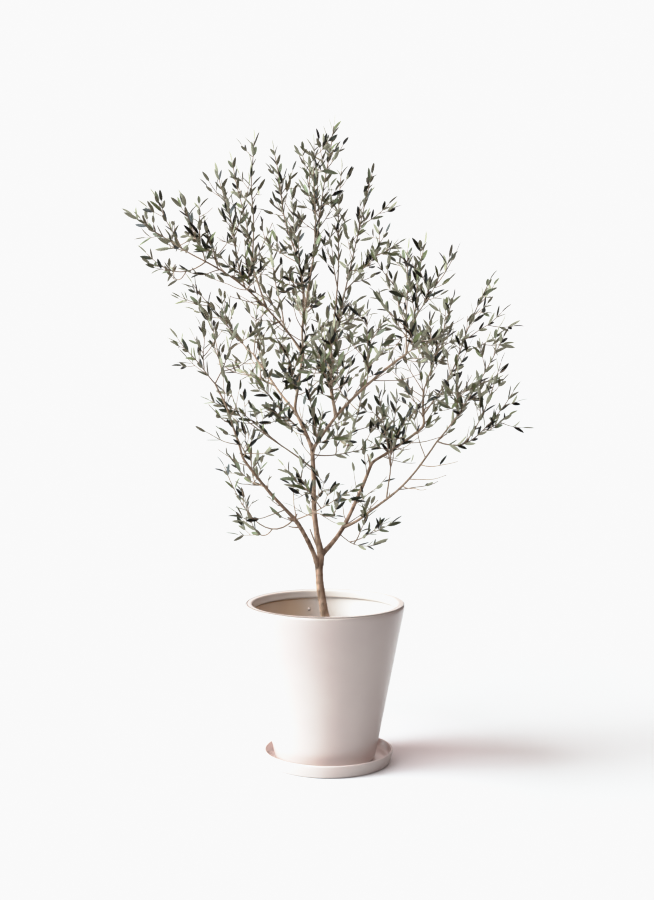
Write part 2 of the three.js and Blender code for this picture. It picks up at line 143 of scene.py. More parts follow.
def tone_drift_group():
    """The noise, spread out to its ends, mixes the first colour with the second."""
    inputs = [("First", COLOUR, (1, 1, 1, 1)), ("Second", COLOUR, (0, 0, 0, 1))]
    group, start, noise = noise_group("tone_drift", inputs, "Colour", COLOUR, 3.0)
    spread = add_node(group, "ShaderNodeMapRange", {
        "Value": noise, "From Min": NOISE_ENDS[0], "From Max": NOISE_ENDS[1],
    })
    mix = colour_mix(group, spread.outputs["Result"], start["First"], start["Second"])
    add_node(group, "NodeGroupOutput", {"Colour": mix})
    return group


def fine_relief_group():
    """The noise by itself, read as a height."""
    group, _, noise = noise_group("fine_relief", [], "Height", NUMBER, 4.0)
    add_node(group, "NodeGroupOutput", {"Height": noise})
    return group


TONE_DRIFT = tone_drift_group()
FINE_RELIEF = fine_relief_group()
print("groups:", [g.name for g in bpy.data.node_groups])

# %% [markdown]
# A finish
#
# Each finish keeps its own shader, which holds the plain values such as roughness
# and coat. The two groups only feed it what changes over the surface: the colour,
# and through a bump the relief. A finish can later be given another colour that
# is mixed from the one it has.


# %% A finish from the two groups
def paint(code):
    """A colour written as six hex digits, as the linear colour Blender works in."""
    parts = [int(code[i:i + 2], 16) / 255 for i in (0, 2, 4)]
    return (*[c / 12.92 if c < 0.04045 else ((c + 0.055) / 1.055) ** 2.4 for c in parts], 1.0)


def new_finish(name, first, second, plain, drift, relief, depth, stretch=(1, 1, 1)):
    """A finish whose colour drifts from first to second and whose surface has a relief.
    plain holds the shader's own values, drift and relief are the scales of the two
    noises, and depth is the height of the relief in millimetres."""
    finish = bpy.data.materials.new(name)
    finish.use_nodes = True
    tree = finish.node_tree
    shader = tree.nodes["Principled BSDF"]
    for label, value in plain.items():
        shader.inputs[label].default_value = value
    tone = add_node(tree, "ShaderNodeGroup", {
        "First": paint(first), "Second": paint(second), "Scale": drift, "Stretch": stretch,
    }, node_tree=TONE_DRIFT)
    grain = add_node(tree, "ShaderNodeGroup", {"Scale": relief, "Stretch": stretch}, node_tree=FINE_RELIEF)
    bump = add_node(tree, "ShaderNodeBump", {"Distance": depth * MM, "Height": grain.outputs["Height"]})
    tree.links.new(bump.outputs["Normal"], shader.inputs["Normal"])
    tree.links.new(tone.outputs["Colour"], shader.inputs["Base Color"])
    return finish


def colour_socket(finish):
    """Where the shader of a finish takes its colour."""
    return finish.node_tree.nodes["Principled BSDF"].inputs["Base Color"]


def colour_so_far(finish):
    """The colour that a finish has been given up to now."""
    return colour_socket(finish).links[0].from_socket


def repaint(finish, colour):
    """Gives a finish another colour."""
    finish.node_tree.links.new(colour, colour_socket(finish))


print("a mid grey in linear light:", round(paint("808080")[0], 3))

# %% [markdown]
# The camera
#
# The photograph looks slightly down on the pot from two and a half metres, with
# a long lens, so the upright lines of the pot hardly lean. The camera stands at
# the same place, which was worked out from the ellipses of the rim, foot and
# saucer.

# %% Place the camera
CAMERA_AT = (-2.3, -2505, 738)
CAMERA_DOWN = 4.72
LENS = 60
FILM_WIDTH = 36
camera_data = bpy.data.cameras.new("camera")
camera_data.lens = LENS
camera_data.sensor_width = FILM_WIDTH
camera = bpy.data.objects.new("camera", camera_data)
camera.location = [c * MM for c in CAMERA_AT]
camera.rotation_euler = (math.radians(90 - CAMERA_DOWN), 0, 0)
bpy.context.scene.collection.objects.link(camera)
bpy.context.scene.camera = camera
print("camera", CAMERA_DOWN, "degrees down")

# %% [markdown]
# The lights
#
# The light comes from a tall window on the left, a little in front of the tree.
# Two even lights stand for its upper and lower panes, and a third, wider one for
# the light that comes in farther to the front. None of them is sharp, because the
# width of a window gives a shadow its soft edge.

# %% Three lights from the left
DAYLIGHT_TINT = (0.85, 1.01, 1.055)
# rise above level, turn to the front and spread, all in degrees, and the strength
LIGHTS = {
    "high_light": (37, 3, 27, 2.3),
    "low_light": (17, 17, 22, 1.2),
    "front_light": (36, 37, 55, 1.9),
}


def daylight(name, rise, yaw, spread, strength):
    """Even light from the left, that many degrees above level, turned towards the
    front by the yaw, and as wide as the spread."""
    data = bpy.data.lights.new(name, "SUN")
    data.energy = strength
    data.angle = math.radians(spread)
    data.color = DAYLIGHT_TINT
    light = bpy.data.objects.new(name, data)
    light.rotation_euler = (0, math.radians(rise - 90), math.radians(yaw))
    bpy.context.scene.collection.objects.link(light)


for name, values in LIGHTS.items():
    daylight(name, *values)
print("lights:", list(LIGHTS))

# %% [markdown]
# The sky
#
# The room behind the camera and to the right is darker than the window's side, so
# the glaze turns from white to a rosy grey. The sky round the scene holds that
# change, and nothing has to stand in for walls. The camera itself sees a plain,
# pale backdrop.

# %% Sky with a bright side
SKY_BRIGHT = (0.87, 0.745, 0.725)
SKY_DIM = (0.03, 0.018, 0.016)
SKY_SEEN = (1.05, 1.045, 1.05)
WINDOW_WAY = (-0.62, 0.36, 0.69)
WINDOW_RISE = (-0.1, 0.75)
CEILING_WAY = (0, 0, 1)
CEILING_RISE = (0.45, 0.95)


def part_along(tree, place, way):
    """How far a place lies along a direction."""
    inputs = {0: place, 1: way}
    return add_node(tree, "ShaderNodeVectorMath", inputs, operation="DOT_PRODUCT").outputs["Value"]


def smooth_share(tree, value, ends):
    """A share that rises smoothly from 0 to 1 as a value goes from end to end."""
    inputs = {"Value": value, "From Min": ends[0], "From Max": ends[1]}
    share = add_node(tree, "ShaderNodeMapRange", inputs, interpolation_type="SMOOTHSTEP")
    return share.outputs["Result"]


def larger(tree, first, second):
    """The larger of two shares."""
    return add_node(tree, "ShaderNodeMath", {0: first, 1: second}, operation="MAXIMUM").outputs[0]


def sky():
    """A direction is bright as far as it points to the window's side or to the
    ceiling, whichever is more. The camera sees a plain backdrop instead."""
    world = bpy.data.worlds.new("sky")
    world.use_nodes = True
    tree = world.node_tree
    tree.nodes.clear()
    place = add_node(tree, "ShaderNodeTexCoord").outputs["Generated"]
    window = smooth_share(tree, part_along(tree, place, WINDOW_WAY), WINDOW_RISE)
    ceiling = smooth_share(tree, part_along(tree, place, CEILING_WAY), CEILING_RISE)
    light = colour_mix(tree, larger(tree, window, ceiling), (*SKY_DIM, 1), (*SKY_BRIGHT, 1))
    lit = add_node(tree, "ShaderNodeBackground", {"Color": light}).outputs[0]
    seen = add_node(tree, "ShaderNodeBackground", {"Color": (*SKY_SEEN, 1)}).outputs[0]
    by_camera = add_node(tree, "ShaderNodeLightPath").outputs["Is Camera Ray"]
    choose = add_node(tree, "ShaderNodeMixShader", {0: by_camera, 1: lit, 2: seen})
    add_node(tree, "ShaderNodeOutputWorld", {"Surface": choose.outputs[0]})
    return world


bpy.context.scene.world = sky()
print("sky from", SKY_DIM, "to", SKY_BRIGHT)

# %% [markdown]
# The film
#
# A camera doesn't keep light as it comes. It lifts the bright tones and rounds
# off the whites a little short of pure white. One curve over all three colours
# does the same here. Each knot pairs the light of the scene with the tone in the
# picture, and past the last knot the curve stays level.

# %% Tone curve of the picture
FILM = [(0.1, 0.092), (0.25, 0.24), (0.4, 0.39), (0.5, 0.51), (0.6, 0.65), (0.72, 0.79),
        (0.85, 0.885), (1.0, 0.949), (1.08, 0.957), (1.25, 0.96)]
ALL_COLOURS = 3
view = bpy.context.scene.view_settings
view.view_transform = "Standard"
view.use_curve_mapping = True
curves = view.curve_mapping
curves.use_clip = False
curves.extend = "HORIZONTAL"
film = curves.curves[ALL_COLOURS]
film.points[1].location = FILM[-1]
for knot in FILM[:-1]:
    film.points.new(*knot)
curves.update()
print("knots of the curve:", len(film.points))

# %% [markdown]
# The floor
#
# The tree stands on plain, pale paper that runs out of sight on all sides. Round
# the pot the camera sees it paler still, which is painted light that lifts the
# shade at the pot's foot. Light that bounces off it finds it greyer, which is
# painted shade, and dark past the right and the front of the view, which is
# painted shade for a dark room that the glaze mirrors.

# %% Floor of pale paper
FLOOR_REACH = 14000
FLOOR_CORNERS = 96
# painted light round the pot, and painted shade that only bounced light sees
PAPER_PAINTED_LIGHT = "f6f5f6"
PAPER_PAINTED_SHADE = "cfcecd"
PAPER_PAINTED_DARK_ROOM = "665c5a"
PAINTED_LIGHT_ROUND = (110, 420)
PAINTED_SHADE_STRIP = (60, 430)
# on the floor, how far the right edge of the view leans out, and where its front edge is
VIEW_SLOPE = 0.218
VIEW_FRONT = 640


def beyond(finish, way, edge):
    """A share that rises over a strip past a straight edge. The edge is the part
    along the way, in millimetres, where the strip starts and where it ends."""
    tree = finish.node_tree
    place = add_node(tree, "ShaderNodeTexCoord").outputs["Object"]
    return smooth_share(tree, part_along(tree, place, way), [e * MM for e in edge])


def paper_light_and_shade(finish):
    """Seen by the camera, painted light round the pot gives way to the paper's own tone
    with the distance from it. Seen by bounced light, the paper takes painted shade, grey near the view and
    dark past it."""
    tree = finish.node_tree
    place = add_node(tree, "ShaderNodeTexCoord").outputs["Object"]
    away = add_node(tree, "ShaderNodeVectorMath", {0: place}, operation="LENGTH").outputs["Value"]
    far = smooth_share(tree, away, [e * MM for e in PAINTED_LIGHT_ROUND])
    # painted light: paler paper round the pot, for the camera only
    seen = colour_mix(tree, far, paint(PAPER_PAINTED_LIGHT), colour_so_far(finish))
    side = CAMERA_AT[0] - VIEW_SLOPE * CAMERA_AT[1]
    right = beyond(finish, (1, -VIEW_SLOPE, 0), [side + e for e in PAINTED_SHADE_STRIP])
    front = beyond(finish, (0, -1, 0), [VIEW_FRONT + e for e in PAINTED_SHADE_STRIP])
    # painted shade: grey paper for bounced light, dark past the right and the front
    bounced = colour_mix(tree, larger(tree, right, front), paint(PAPER_PAINTED_SHADE), paint(PAPER_PAINTED_DARK_ROOM))
    by_camera = add_node(tree, "ShaderNodeLightPath").outputs["Is Camera Ray"]
    repaint(finish, colour_mix(tree, by_camera, bounced, seen))


around = np.linspace(0, 2 * np.pi, FLOOR_CORNERS + 1)[:-1]
edge = np.stack([np.cos(around), np.sin(around), 0 * around], 1) * FLOOR_REACH * MM
floor_mesh = bpy.data.meshes.new("floor")
floor_mesh.from_pydata(edge.tolist(), [], [list(range(FLOOR_CORNERS))])
floor = bpy.data.objects.new("floor", floor_mesh)
bpy.context.scene.collection.objects.link(floor)
MATT = {"Roughness": 0.9, "Specular IOR Level": 0.1}
PAPER = new_finish("floor_paint", "dedddc", "dddcdb", MATT, drift=3, relief=200, depth=0.1)
paper_light_and_shade(PAPER)
floor_mesh.materials.append(PAPER)
print("floor:", 2 * FLOOR_REACH * MM, "metres across")

# %% [markdown]
# Pot and saucer
#
# Both were turned on a wheel or pressed in a turned mould, so each is a profile
# spun round an upright axis. A list of corners gives the profile, and each
# corner is rounded by the size the real edge has. The spin closes on the axis
# at both ends, so the clay has no open seam.

# %% Sizes of the pot, saucer and soil
CLEAR = 0.3
POT_OFFSET = -5.7
SAUCER_RIM = 109.7
SAUCER_FOOT = 104.7
SAUCER_TALL = 22.2
SAUCER_FLOOR = 7.7
POT_BASE = SAUCER_FLOOR + CLEAR
POT_FOOT = 84.5
POT_MOUTH = 135.0
POT_TOP = 273.0
POT_WALL = 8.0
POT_PLATE = 14.0
LIP_INNER = 121.2
LIP_DEEP = 13.5
CONE_TOP = POT_TOP - 6
POT_FLARE = 0.03
SOIL_TOP = 220.0
print("pot", POT_TOP - POT_BASE, "tall, saucer", 2 * SAUCER_RIM, "across")


# %% Profiles and the spin
def pot_outer(z):
    """A cone that widens a little faster near the foot."""
    up = (np.asarray(z, float) - POT_BASE) / (CONE_TOP - POT_BASE)
    wider = (1 - POT_FLARE) * up + POT_FLARE * np.sqrt(np.maximum(up, 0))
    return POT_FOOT + (POT_MOUTH - POT_FOOT) * wider


def rounded(corners, steps=6):
    """A profile through corners (radius, height, rounding). Each corner gives way to
    a quadratic curve that starts and ends the rounding away from it along its sides."""
    corner = np.array(corners, float)
    place, size = corner[:, :2], corner[:, 2]
    before = unit(np.roll(place, 1, 0) - place)[1:-1]
    after = unit(np.roll(place, -1, 0) - place)[1:-1]
    t = np.linspace(0, 1, steps)[None, :, None]
    here = place[1:-1, None, :]
    reach = size[1:-1, None, None]
    curve = here + reach * (before[:, None] * (1 - t) ** 2 + after[:, None] * t ** 2)
    keep = np.where(size[1:-1, None] > 0, True, np.arange(steps)[None] == 0)
    return np.vstack([place[:1], curve[keep], place[-1:]])


def spun(profile, middle_x, segments=160):
    """Points and faces of a profile spun round the upright axis at middle_x. The
    first and last points lie on the axis and close it with a fan."""
    inner = profile[1:-1]
    a = np.linspace(0, 2 * np.pi, segments, endpoint=False)
    ring = np.stack([
        inner[:, None, 0] * np.cos(a), inner[:, None, 0] * np.sin(a),
        np.broadcast_to(inner[:, None, 1], (len(inner), segments)),
    ], 2).reshape(-1, 3)
    ends = np.array([[0, 0, profile[0, 1]], [0, 0, profile[-1, 1]]])
    points = np.vstack([ring, ends]) + [middle_x, 0, 0]
    quads, fans = ring_faces(len(inner), segments)
    return points, [quads, fans]


def ring_faces(rows, columns):
    """Quads between rings of points, and fans that close both ends to the two
    points that follow the rings."""
    k = np.arange(columns)
    right = (k + 1) % columns
    r = np.arange(rows - 1)[:, None] * columns
    quads = np.stack([r + k, r + right, r + columns + right, r + columns + k], 2).reshape(-1, 4)
    last = (rows - 1) * columns
    first_fan = np.stack([right, k, np.full(columns, rows * columns)], 1)
    last_fan = np.stack([last + k, last + right, np.full(columns, rows * columns + 1)], 1)
    return quads, np.vstack([first_fan, last_fan])


def stretch_of(radius_at, low, high, count):
    """Corners without rounding along a wall, from one height to another."""
    z = np.linspace(low, high, count)
    return [(float(radius_at(h)), float(h), 0.0) for h in z]


def pot_inner(z):
    """The inner wall stands one wall's thickness inside the outer."""
    return pot_outer(z) - POT_WALL


POT_FLOOR = POT_BASE + POT_PLATE
# corners as radius, height and rounding, up the outside, over the lip and down the inside
pot_profile = rounded([
    (0, POT_BASE, 0), (POT_FOOT - 9, POT_BASE, 2), (POT_FOOT - 0.4, POT_BASE, 3),
    *stretch_of(pot_outer, POT_BASE + 6, POT_TOP - 12, 26),
    (POT_MOUTH + 0.1, POT_TOP - 2.0, 4.2), (POT_MOUTH - 3.5, POT_TOP, 3.0),
    (LIP_INNER + 1.5, POT_TOP - 0.4, 3.6), (LIP_INNER, POT_TOP - LIP_DEEP, 2.2),
    (float(pot_inner(POT_TOP - LIP_DEEP)) - 1.0, POT_TOP - LIP_DEEP - 2.0, 1.4),
    *stretch_of(pot_inner, POT_TOP - LIP_DEEP - 8, POT_FLOOR + 16, 16),
    (float(pot_inner(POT_FLOOR)) - 1.0, POT_FLOOR, 10), (0, POT_FLOOR, 0),
])
saucer_profile = rounded([
    (0, 0, 0), (SAUCER_FOOT, 0, 3.6), (SAUCER_RIM - 0.9, SAUCER_TALL - 7, 3),
    (SAUCER_RIM, SAUCER_TALL - 0.3, 1.9), (SAUCER_RIM - 3.3, SAUCER_TALL, 1.3),
    (SAUCER_RIM - 3.6, SAUCER_TALL - 6, 3), (SAUCER_RIM - 6.0, SAUCER_FLOOR, 4.5),
    (0, SAUCER_FLOOR, 0),
])
print("profile points:", len(pot_profile), "and", len(saucer_profile))

# %% [markdown]
# The glaze
#
# It is a thick, glossy, warm white that hides the clay. Inside the pot it is
# painted paler than outside, which is painted light, and brown towards the left,
# which is painted shade. The lip is painted whitest of all, which is painted
# light. A clear coat over a slightly rougher base gives it both its sharp window
# reflection and the soft sheen under it, and a faint, wide relief makes the
# reflections waver as they do on real glaze.

# %% Three glazes
GLOSS = {"Roughness": 0.3, "Coat Weight": 0.85, "Coat Roughness": 0.07}
INSIDE_GLOSS = {"Roughness": 0.35, "Coat Weight": 0.6, "Coat Roughness": 0.1}
# painted shade: the inside turns brown towards the left
INSIDE_PAINTED_SHADE = "ecc5a2"
PAINTED_SHADE_WAY = (1, 0.35, 0)
PAINTED_SHADE_EDGE = (-35, 40)
GLAZE = new_finish("glaze", "e3d4ce", "decdc8", GLOSS, drift=9, relief=26, depth=0.25)
# painted light: the inside glaze is paler than the outer one
INSIDE_LIGHT_AND_SHADE = new_finish("glaze_inside_light_and_shade", "fbf0ea", "f6e8e0", INSIDE_GLOSS, drift=14, relief=26, depth=0.25)
# painted shade: brown on the left of the inside, fading towards the right
past_painted_shade = beyond(INSIDE_LIGHT_AND_SHADE, PAINTED_SHADE_WAY, PAINTED_SHADE_EDGE)
repaint(INSIDE_LIGHT_AND_SHADE, colour_mix(INSIDE_LIGHT_AND_SHADE.node_tree, past_painted_shade, paint(INSIDE_PAINTED_SHADE), colour_so_far(INSIDE_LIGHT_AND_SHADE)))
# painted light: the rim glaze is paler still
RIM_PAINTED_LIGHT = new_finish("glaze_rim_painted_light", "f6e8e0", "f0e1d8", GLOSS, drift=9, relief=26, depth=0.25)
print("glazes:", [glaze.name for glaze in (GLAZE, INSIDE_LIGHT_AND_SHADE, RIM_PAINTED_LIGHT)])

# %% [markdown]
# Glazed pot and saucer
#
# The spin gives both their shape. On the pot, the place of each face decides its
# glaze: a face well inside the outer wall takes the inside glaze with its painted
# light and shade, and one at the top or on the inner side of the lip takes the rim
# glaze, which is painted light.

# %% Pot and saucer as pieces
INSIDE_FROM = 5
PAINTED_LIGHT_BAND = 3
points, faces = spun(pot_profile, POT_OFFSET)
middle = np.vstack([points[face.ravel()].reshape(*face.shape, 3).mean(1) for face in faces])
inside = np.hypot(middle[:, 0] - POT_OFFSET, middle[:, 1]) < pot_outer(middle[:, 2]) - INSIDE_FROM
# painted light: the lip and the top take the paler rim glaze
lip = inside & (middle[:, 2] > POT_TOP - LIP_DEEP - 1)
looks = np.where(lip | (middle[:, 2] > POT_TOP - PAINTED_LIGHT_BAND), 2, np.where(inside, 1, 0))
make_piece("pot_glazed", points, faces, [GLAZE, INSIDE_LIGHT_AND_SHADE, RIM_PAINTED_LIGHT], looks, replaces=["pot"])
points, faces = spun(saucer_profile, 0)
make_piece("saucer_glazed", points, faces, [GLAZE], replaces=["saucer"])

# %% [markdown]
# A drop of glaze
#
# On the inner wall a drop of glaze ran a little way and set. It is a slim bead
# from the same spin, and about half of it is sunk in the wall.

# %% Drop on the inner wall
DROP_AT = (-34.2, 118.6, 238.5)
DROP_SIZE = 2.6
DROP_TALL = 1.3
turn = np.linspace(np.pi, 0, 12)
bead = DROP_SIZE * np.stack([np.sin(turn), DROP_TALL * np.cos(turn)], 1)
points, faces = spun(bead, DROP_AT[0], 20)
# the drop takes the rim glaze, which is painted light
make_piece("glaze_drop", points + [0, DROP_AT[1], DROP_AT[2]], faces, [RIM_PAINTED_LIGHT])

# %% [markdown]
# The soil
#
# Damp, crumbly potting soil fills the pot to 53 mm below the rim. Its body is one
# more spin. The top is then lifted by seeded waves, wide ones for the swells and
# short ones for the lumps, so it looks raked by hand and is the same every time.

# %% Soil bed
SWELL_HIGH = 9
LUMP_HIGH = 6
EARTH = new_finish("damp_soil", "3c2d22", "55422f", {"Roughness": 0.95}, drift=60, relief=260, depth=1.2)


def waves(x, y, low, high, count, seed):
    """The mean of seeded sine waves with wavelengths from low to high."""
    dice = np.random.default_rng(seed)
    angle = dice.uniform(0, 2 * np.pi, count)
    size = dice.uniform(low, high, count)
    phase = dice.uniform(0, 2 * np.pi, count)
    along = x[..., None] * np.cos(angle) + y[..., None] * np.sin(angle)
    return np.sin(2 * np.pi * along / size + phase).mean(-1)


def soil_lift(points):
    """Wide swells plus small lumps, in millimetres above the soil's level."""
    x, y = points[:, 0], points[:, 1]
    swells = waves(x, y, low=25, high=60, count=9, seed=5)
    return SWELL_HIGH * swells + LUMP_HIGH * waves(x, y, low=6, high=16, count=16, seed=6)


# from the middle of the underside out, up the wall, and back in over the top
soil_profile = np.vstack([
    [[0, POT_FLOOR + CLEAR]],
    [[float(pot_inner(POT_FLOOR)) - 6, POT_FLOOR + CLEAR]],
    [[float(pot_inner(z)) - CLEAR, z] for z in np.linspace(POT_FLOOR + 8, SOIL_TOP - 1, 12)],
    [[r, SOIL_TOP] for r in np.linspace(float(pot_inner(SOIL_TOP)) - 1.2, 2, 56)],
    [[0, SOIL_TOP]],
])
points, faces = spun(soil_profile, POT_OFFSET, 144)
top = points[:, 2] > SOIL_TOP - 0.5
points[:, 2] += np.where(top, soil_lift(points) - 0.5, 0)
make_piece("soil_bed", points, faces, [EARTH], replaces=["soil"])

# %% [markdown]
# Crumbs
#
# Loose crumbs break up the soil's smooth top. Each is an icosahedron whose
# corners are pushed in and out, which takes only twenty faces, and it lies on the
# lifted surface.

# %% Crumbs on the soil
CRUMBS = 900
CRUMB_SIZES = (1.0, 3.4)
ICOSAHEDRON_REACH = 1.9


def lumps(centres, sizes, seed):
    """Twelve-cornered lumps: the corners of an icosahedron, pushed in and out."""
    gold = (1 + 5 ** 0.5) / 2
    base = np.array([
        (-1, gold, 0), (1, gold, 0), (-1, -gold, 0), (1, -gold, 0), (0, -1, gold), (0, 1, gold),
        (0, -1, -gold), (0, 1, -gold), (gold, 0, -1), (gold, 0, 1), (-gold, 0, -1), (-gold, 0, 1),
    ]) / ICOSAHEDRON_REACH
    sides = np.array([
        (0, 11, 5), (0, 5, 1), (0, 1, 7), (0, 7, 10), (0, 10, 11), (1, 5, 9), (5, 11, 4),
        (11, 10, 2), (10, 7, 6), (7, 1, 8), (3, 9, 4), (3, 4, 2), (3, 2, 6), (3, 6, 8),
        (3, 8, 9), (4, 9, 5), (2, 4, 11), (6, 2, 10), (8, 6, 7), (9, 8, 1),
    ])
    dice = np.random.default_rng(seed)
    swell = dice.uniform(0.65, 1.2, (len(centres), 12, 1)) * sizes[:, None, None]
    made = centres[:, None, :] + base * swell * dice.uniform(0.7, 1.2, (len(centres), 1, 3))
    return made.reshape(-1, 3), (np.arange(len(centres))[:, None, None] * 12 + sides).reshape(-1, 3)


rng = np.random.default_rng(31)
turn = rng.uniform(0, 2 * np.pi, CRUMBS)
away = (float(pot_inner(SOIL_TOP)) - 5) * np.sqrt(rng.uniform(0, 1, CRUMBS))
spots = np.stack([
    away * np.cos(turn) + POT_OFFSET, away * np.sin(turn), np.full(CRUMBS, SOIL_TOP),
], 1)
spots[:, 2] += soil_lift(spots)
points, sides = lumps(spots, rng.uniform(*CRUMB_SIZES, CRUMBS), 8)
make_piece("soil_crumbs", points, [sides], [EARTH])

# %% [markdown]
# How the tree grows
#
# The limbs and the shoots come from the same tables as the solids, so the crown
# keeps its place. The trunk is a row of places with the radius at each. A limb is
# named with the limb it springs from, how far along, its length, its bearing and
# rise in degrees, its sag and swing, and its radius at both ends. A spray is named
# with its limb, how far along, its sag, how much of its stem is bare, its side
# twigs, and its shoots as reach, bearing and rise.

# %% The tables of the trunk, limbs and sprays
TRUNK = [
    (2, 0, 220.3, 12.4), (0, 0, 228, 8.8), (-7, 0, 255, 7.1), (-14, 0, 300, 6.4),
    (-16, 0, 330, 6.5), (-12, 0, 354, 6.0), (-19, 3, 385, 4.8), (-24, 6, 425, 4.1),
    (-25, 11, 490, 3.7), (-27, 14, 530, 3.4),
]
LIMBS = [
    ("left_foot", "trunk", 4 / 9, 105, -138, 59, -5, 3, 4, 3.4),
    ("left_bough", "left_foot", 1, 145, -147, 47, 3, -3, 3, 2),
    ("left_rise", "left_bough", 1, 130, -148, 68, 4, 12, 1.9, 1.3),
    ("right_bough", "trunk", 5 / 9, 185, 35, 55, 20, 0, 4, 2.7),
    ("right_arm", "right_bough", 1, 115, 21, 31, 3, 0, 2.6, 2.3),
    ("right_rise", "right_arm", 1, 65, 91, 77, 0, 2, 2.2, 1.7),
    ("low_right_bough", "right_bough", 0.42, 240, -35, 40, 24, -4, 2.4, 1.4),
    ("leader_low", "trunk", 1, 75, 144, 60, -2, -2, 3.3, 2.6),
    ("leader_mid", "leader_low", 1, 100, -28, 80, 0, -1, 2.5, 1.9),
    ("leader_top", "leader_mid", 1, 80, -72, 80, 0, -4, 1.8, 1.4),
    ("mid_left_bough", "leader_low", 1, 145, 131, 40, 3, 0, 2, 1.5),
    ("upper_left_bough", "leader_mid", 1, 240, -145, 38, -14, 6, 1.7, 1.2),
    ("centre_right_bough", "trunk", 1, 260, -42, 39, -14, -4, 2.6, 1.8),
    ("centre_rise", "centre_right_bough", 0.28, 175, 92, 48, 6, 6, 2, 1.5),
]
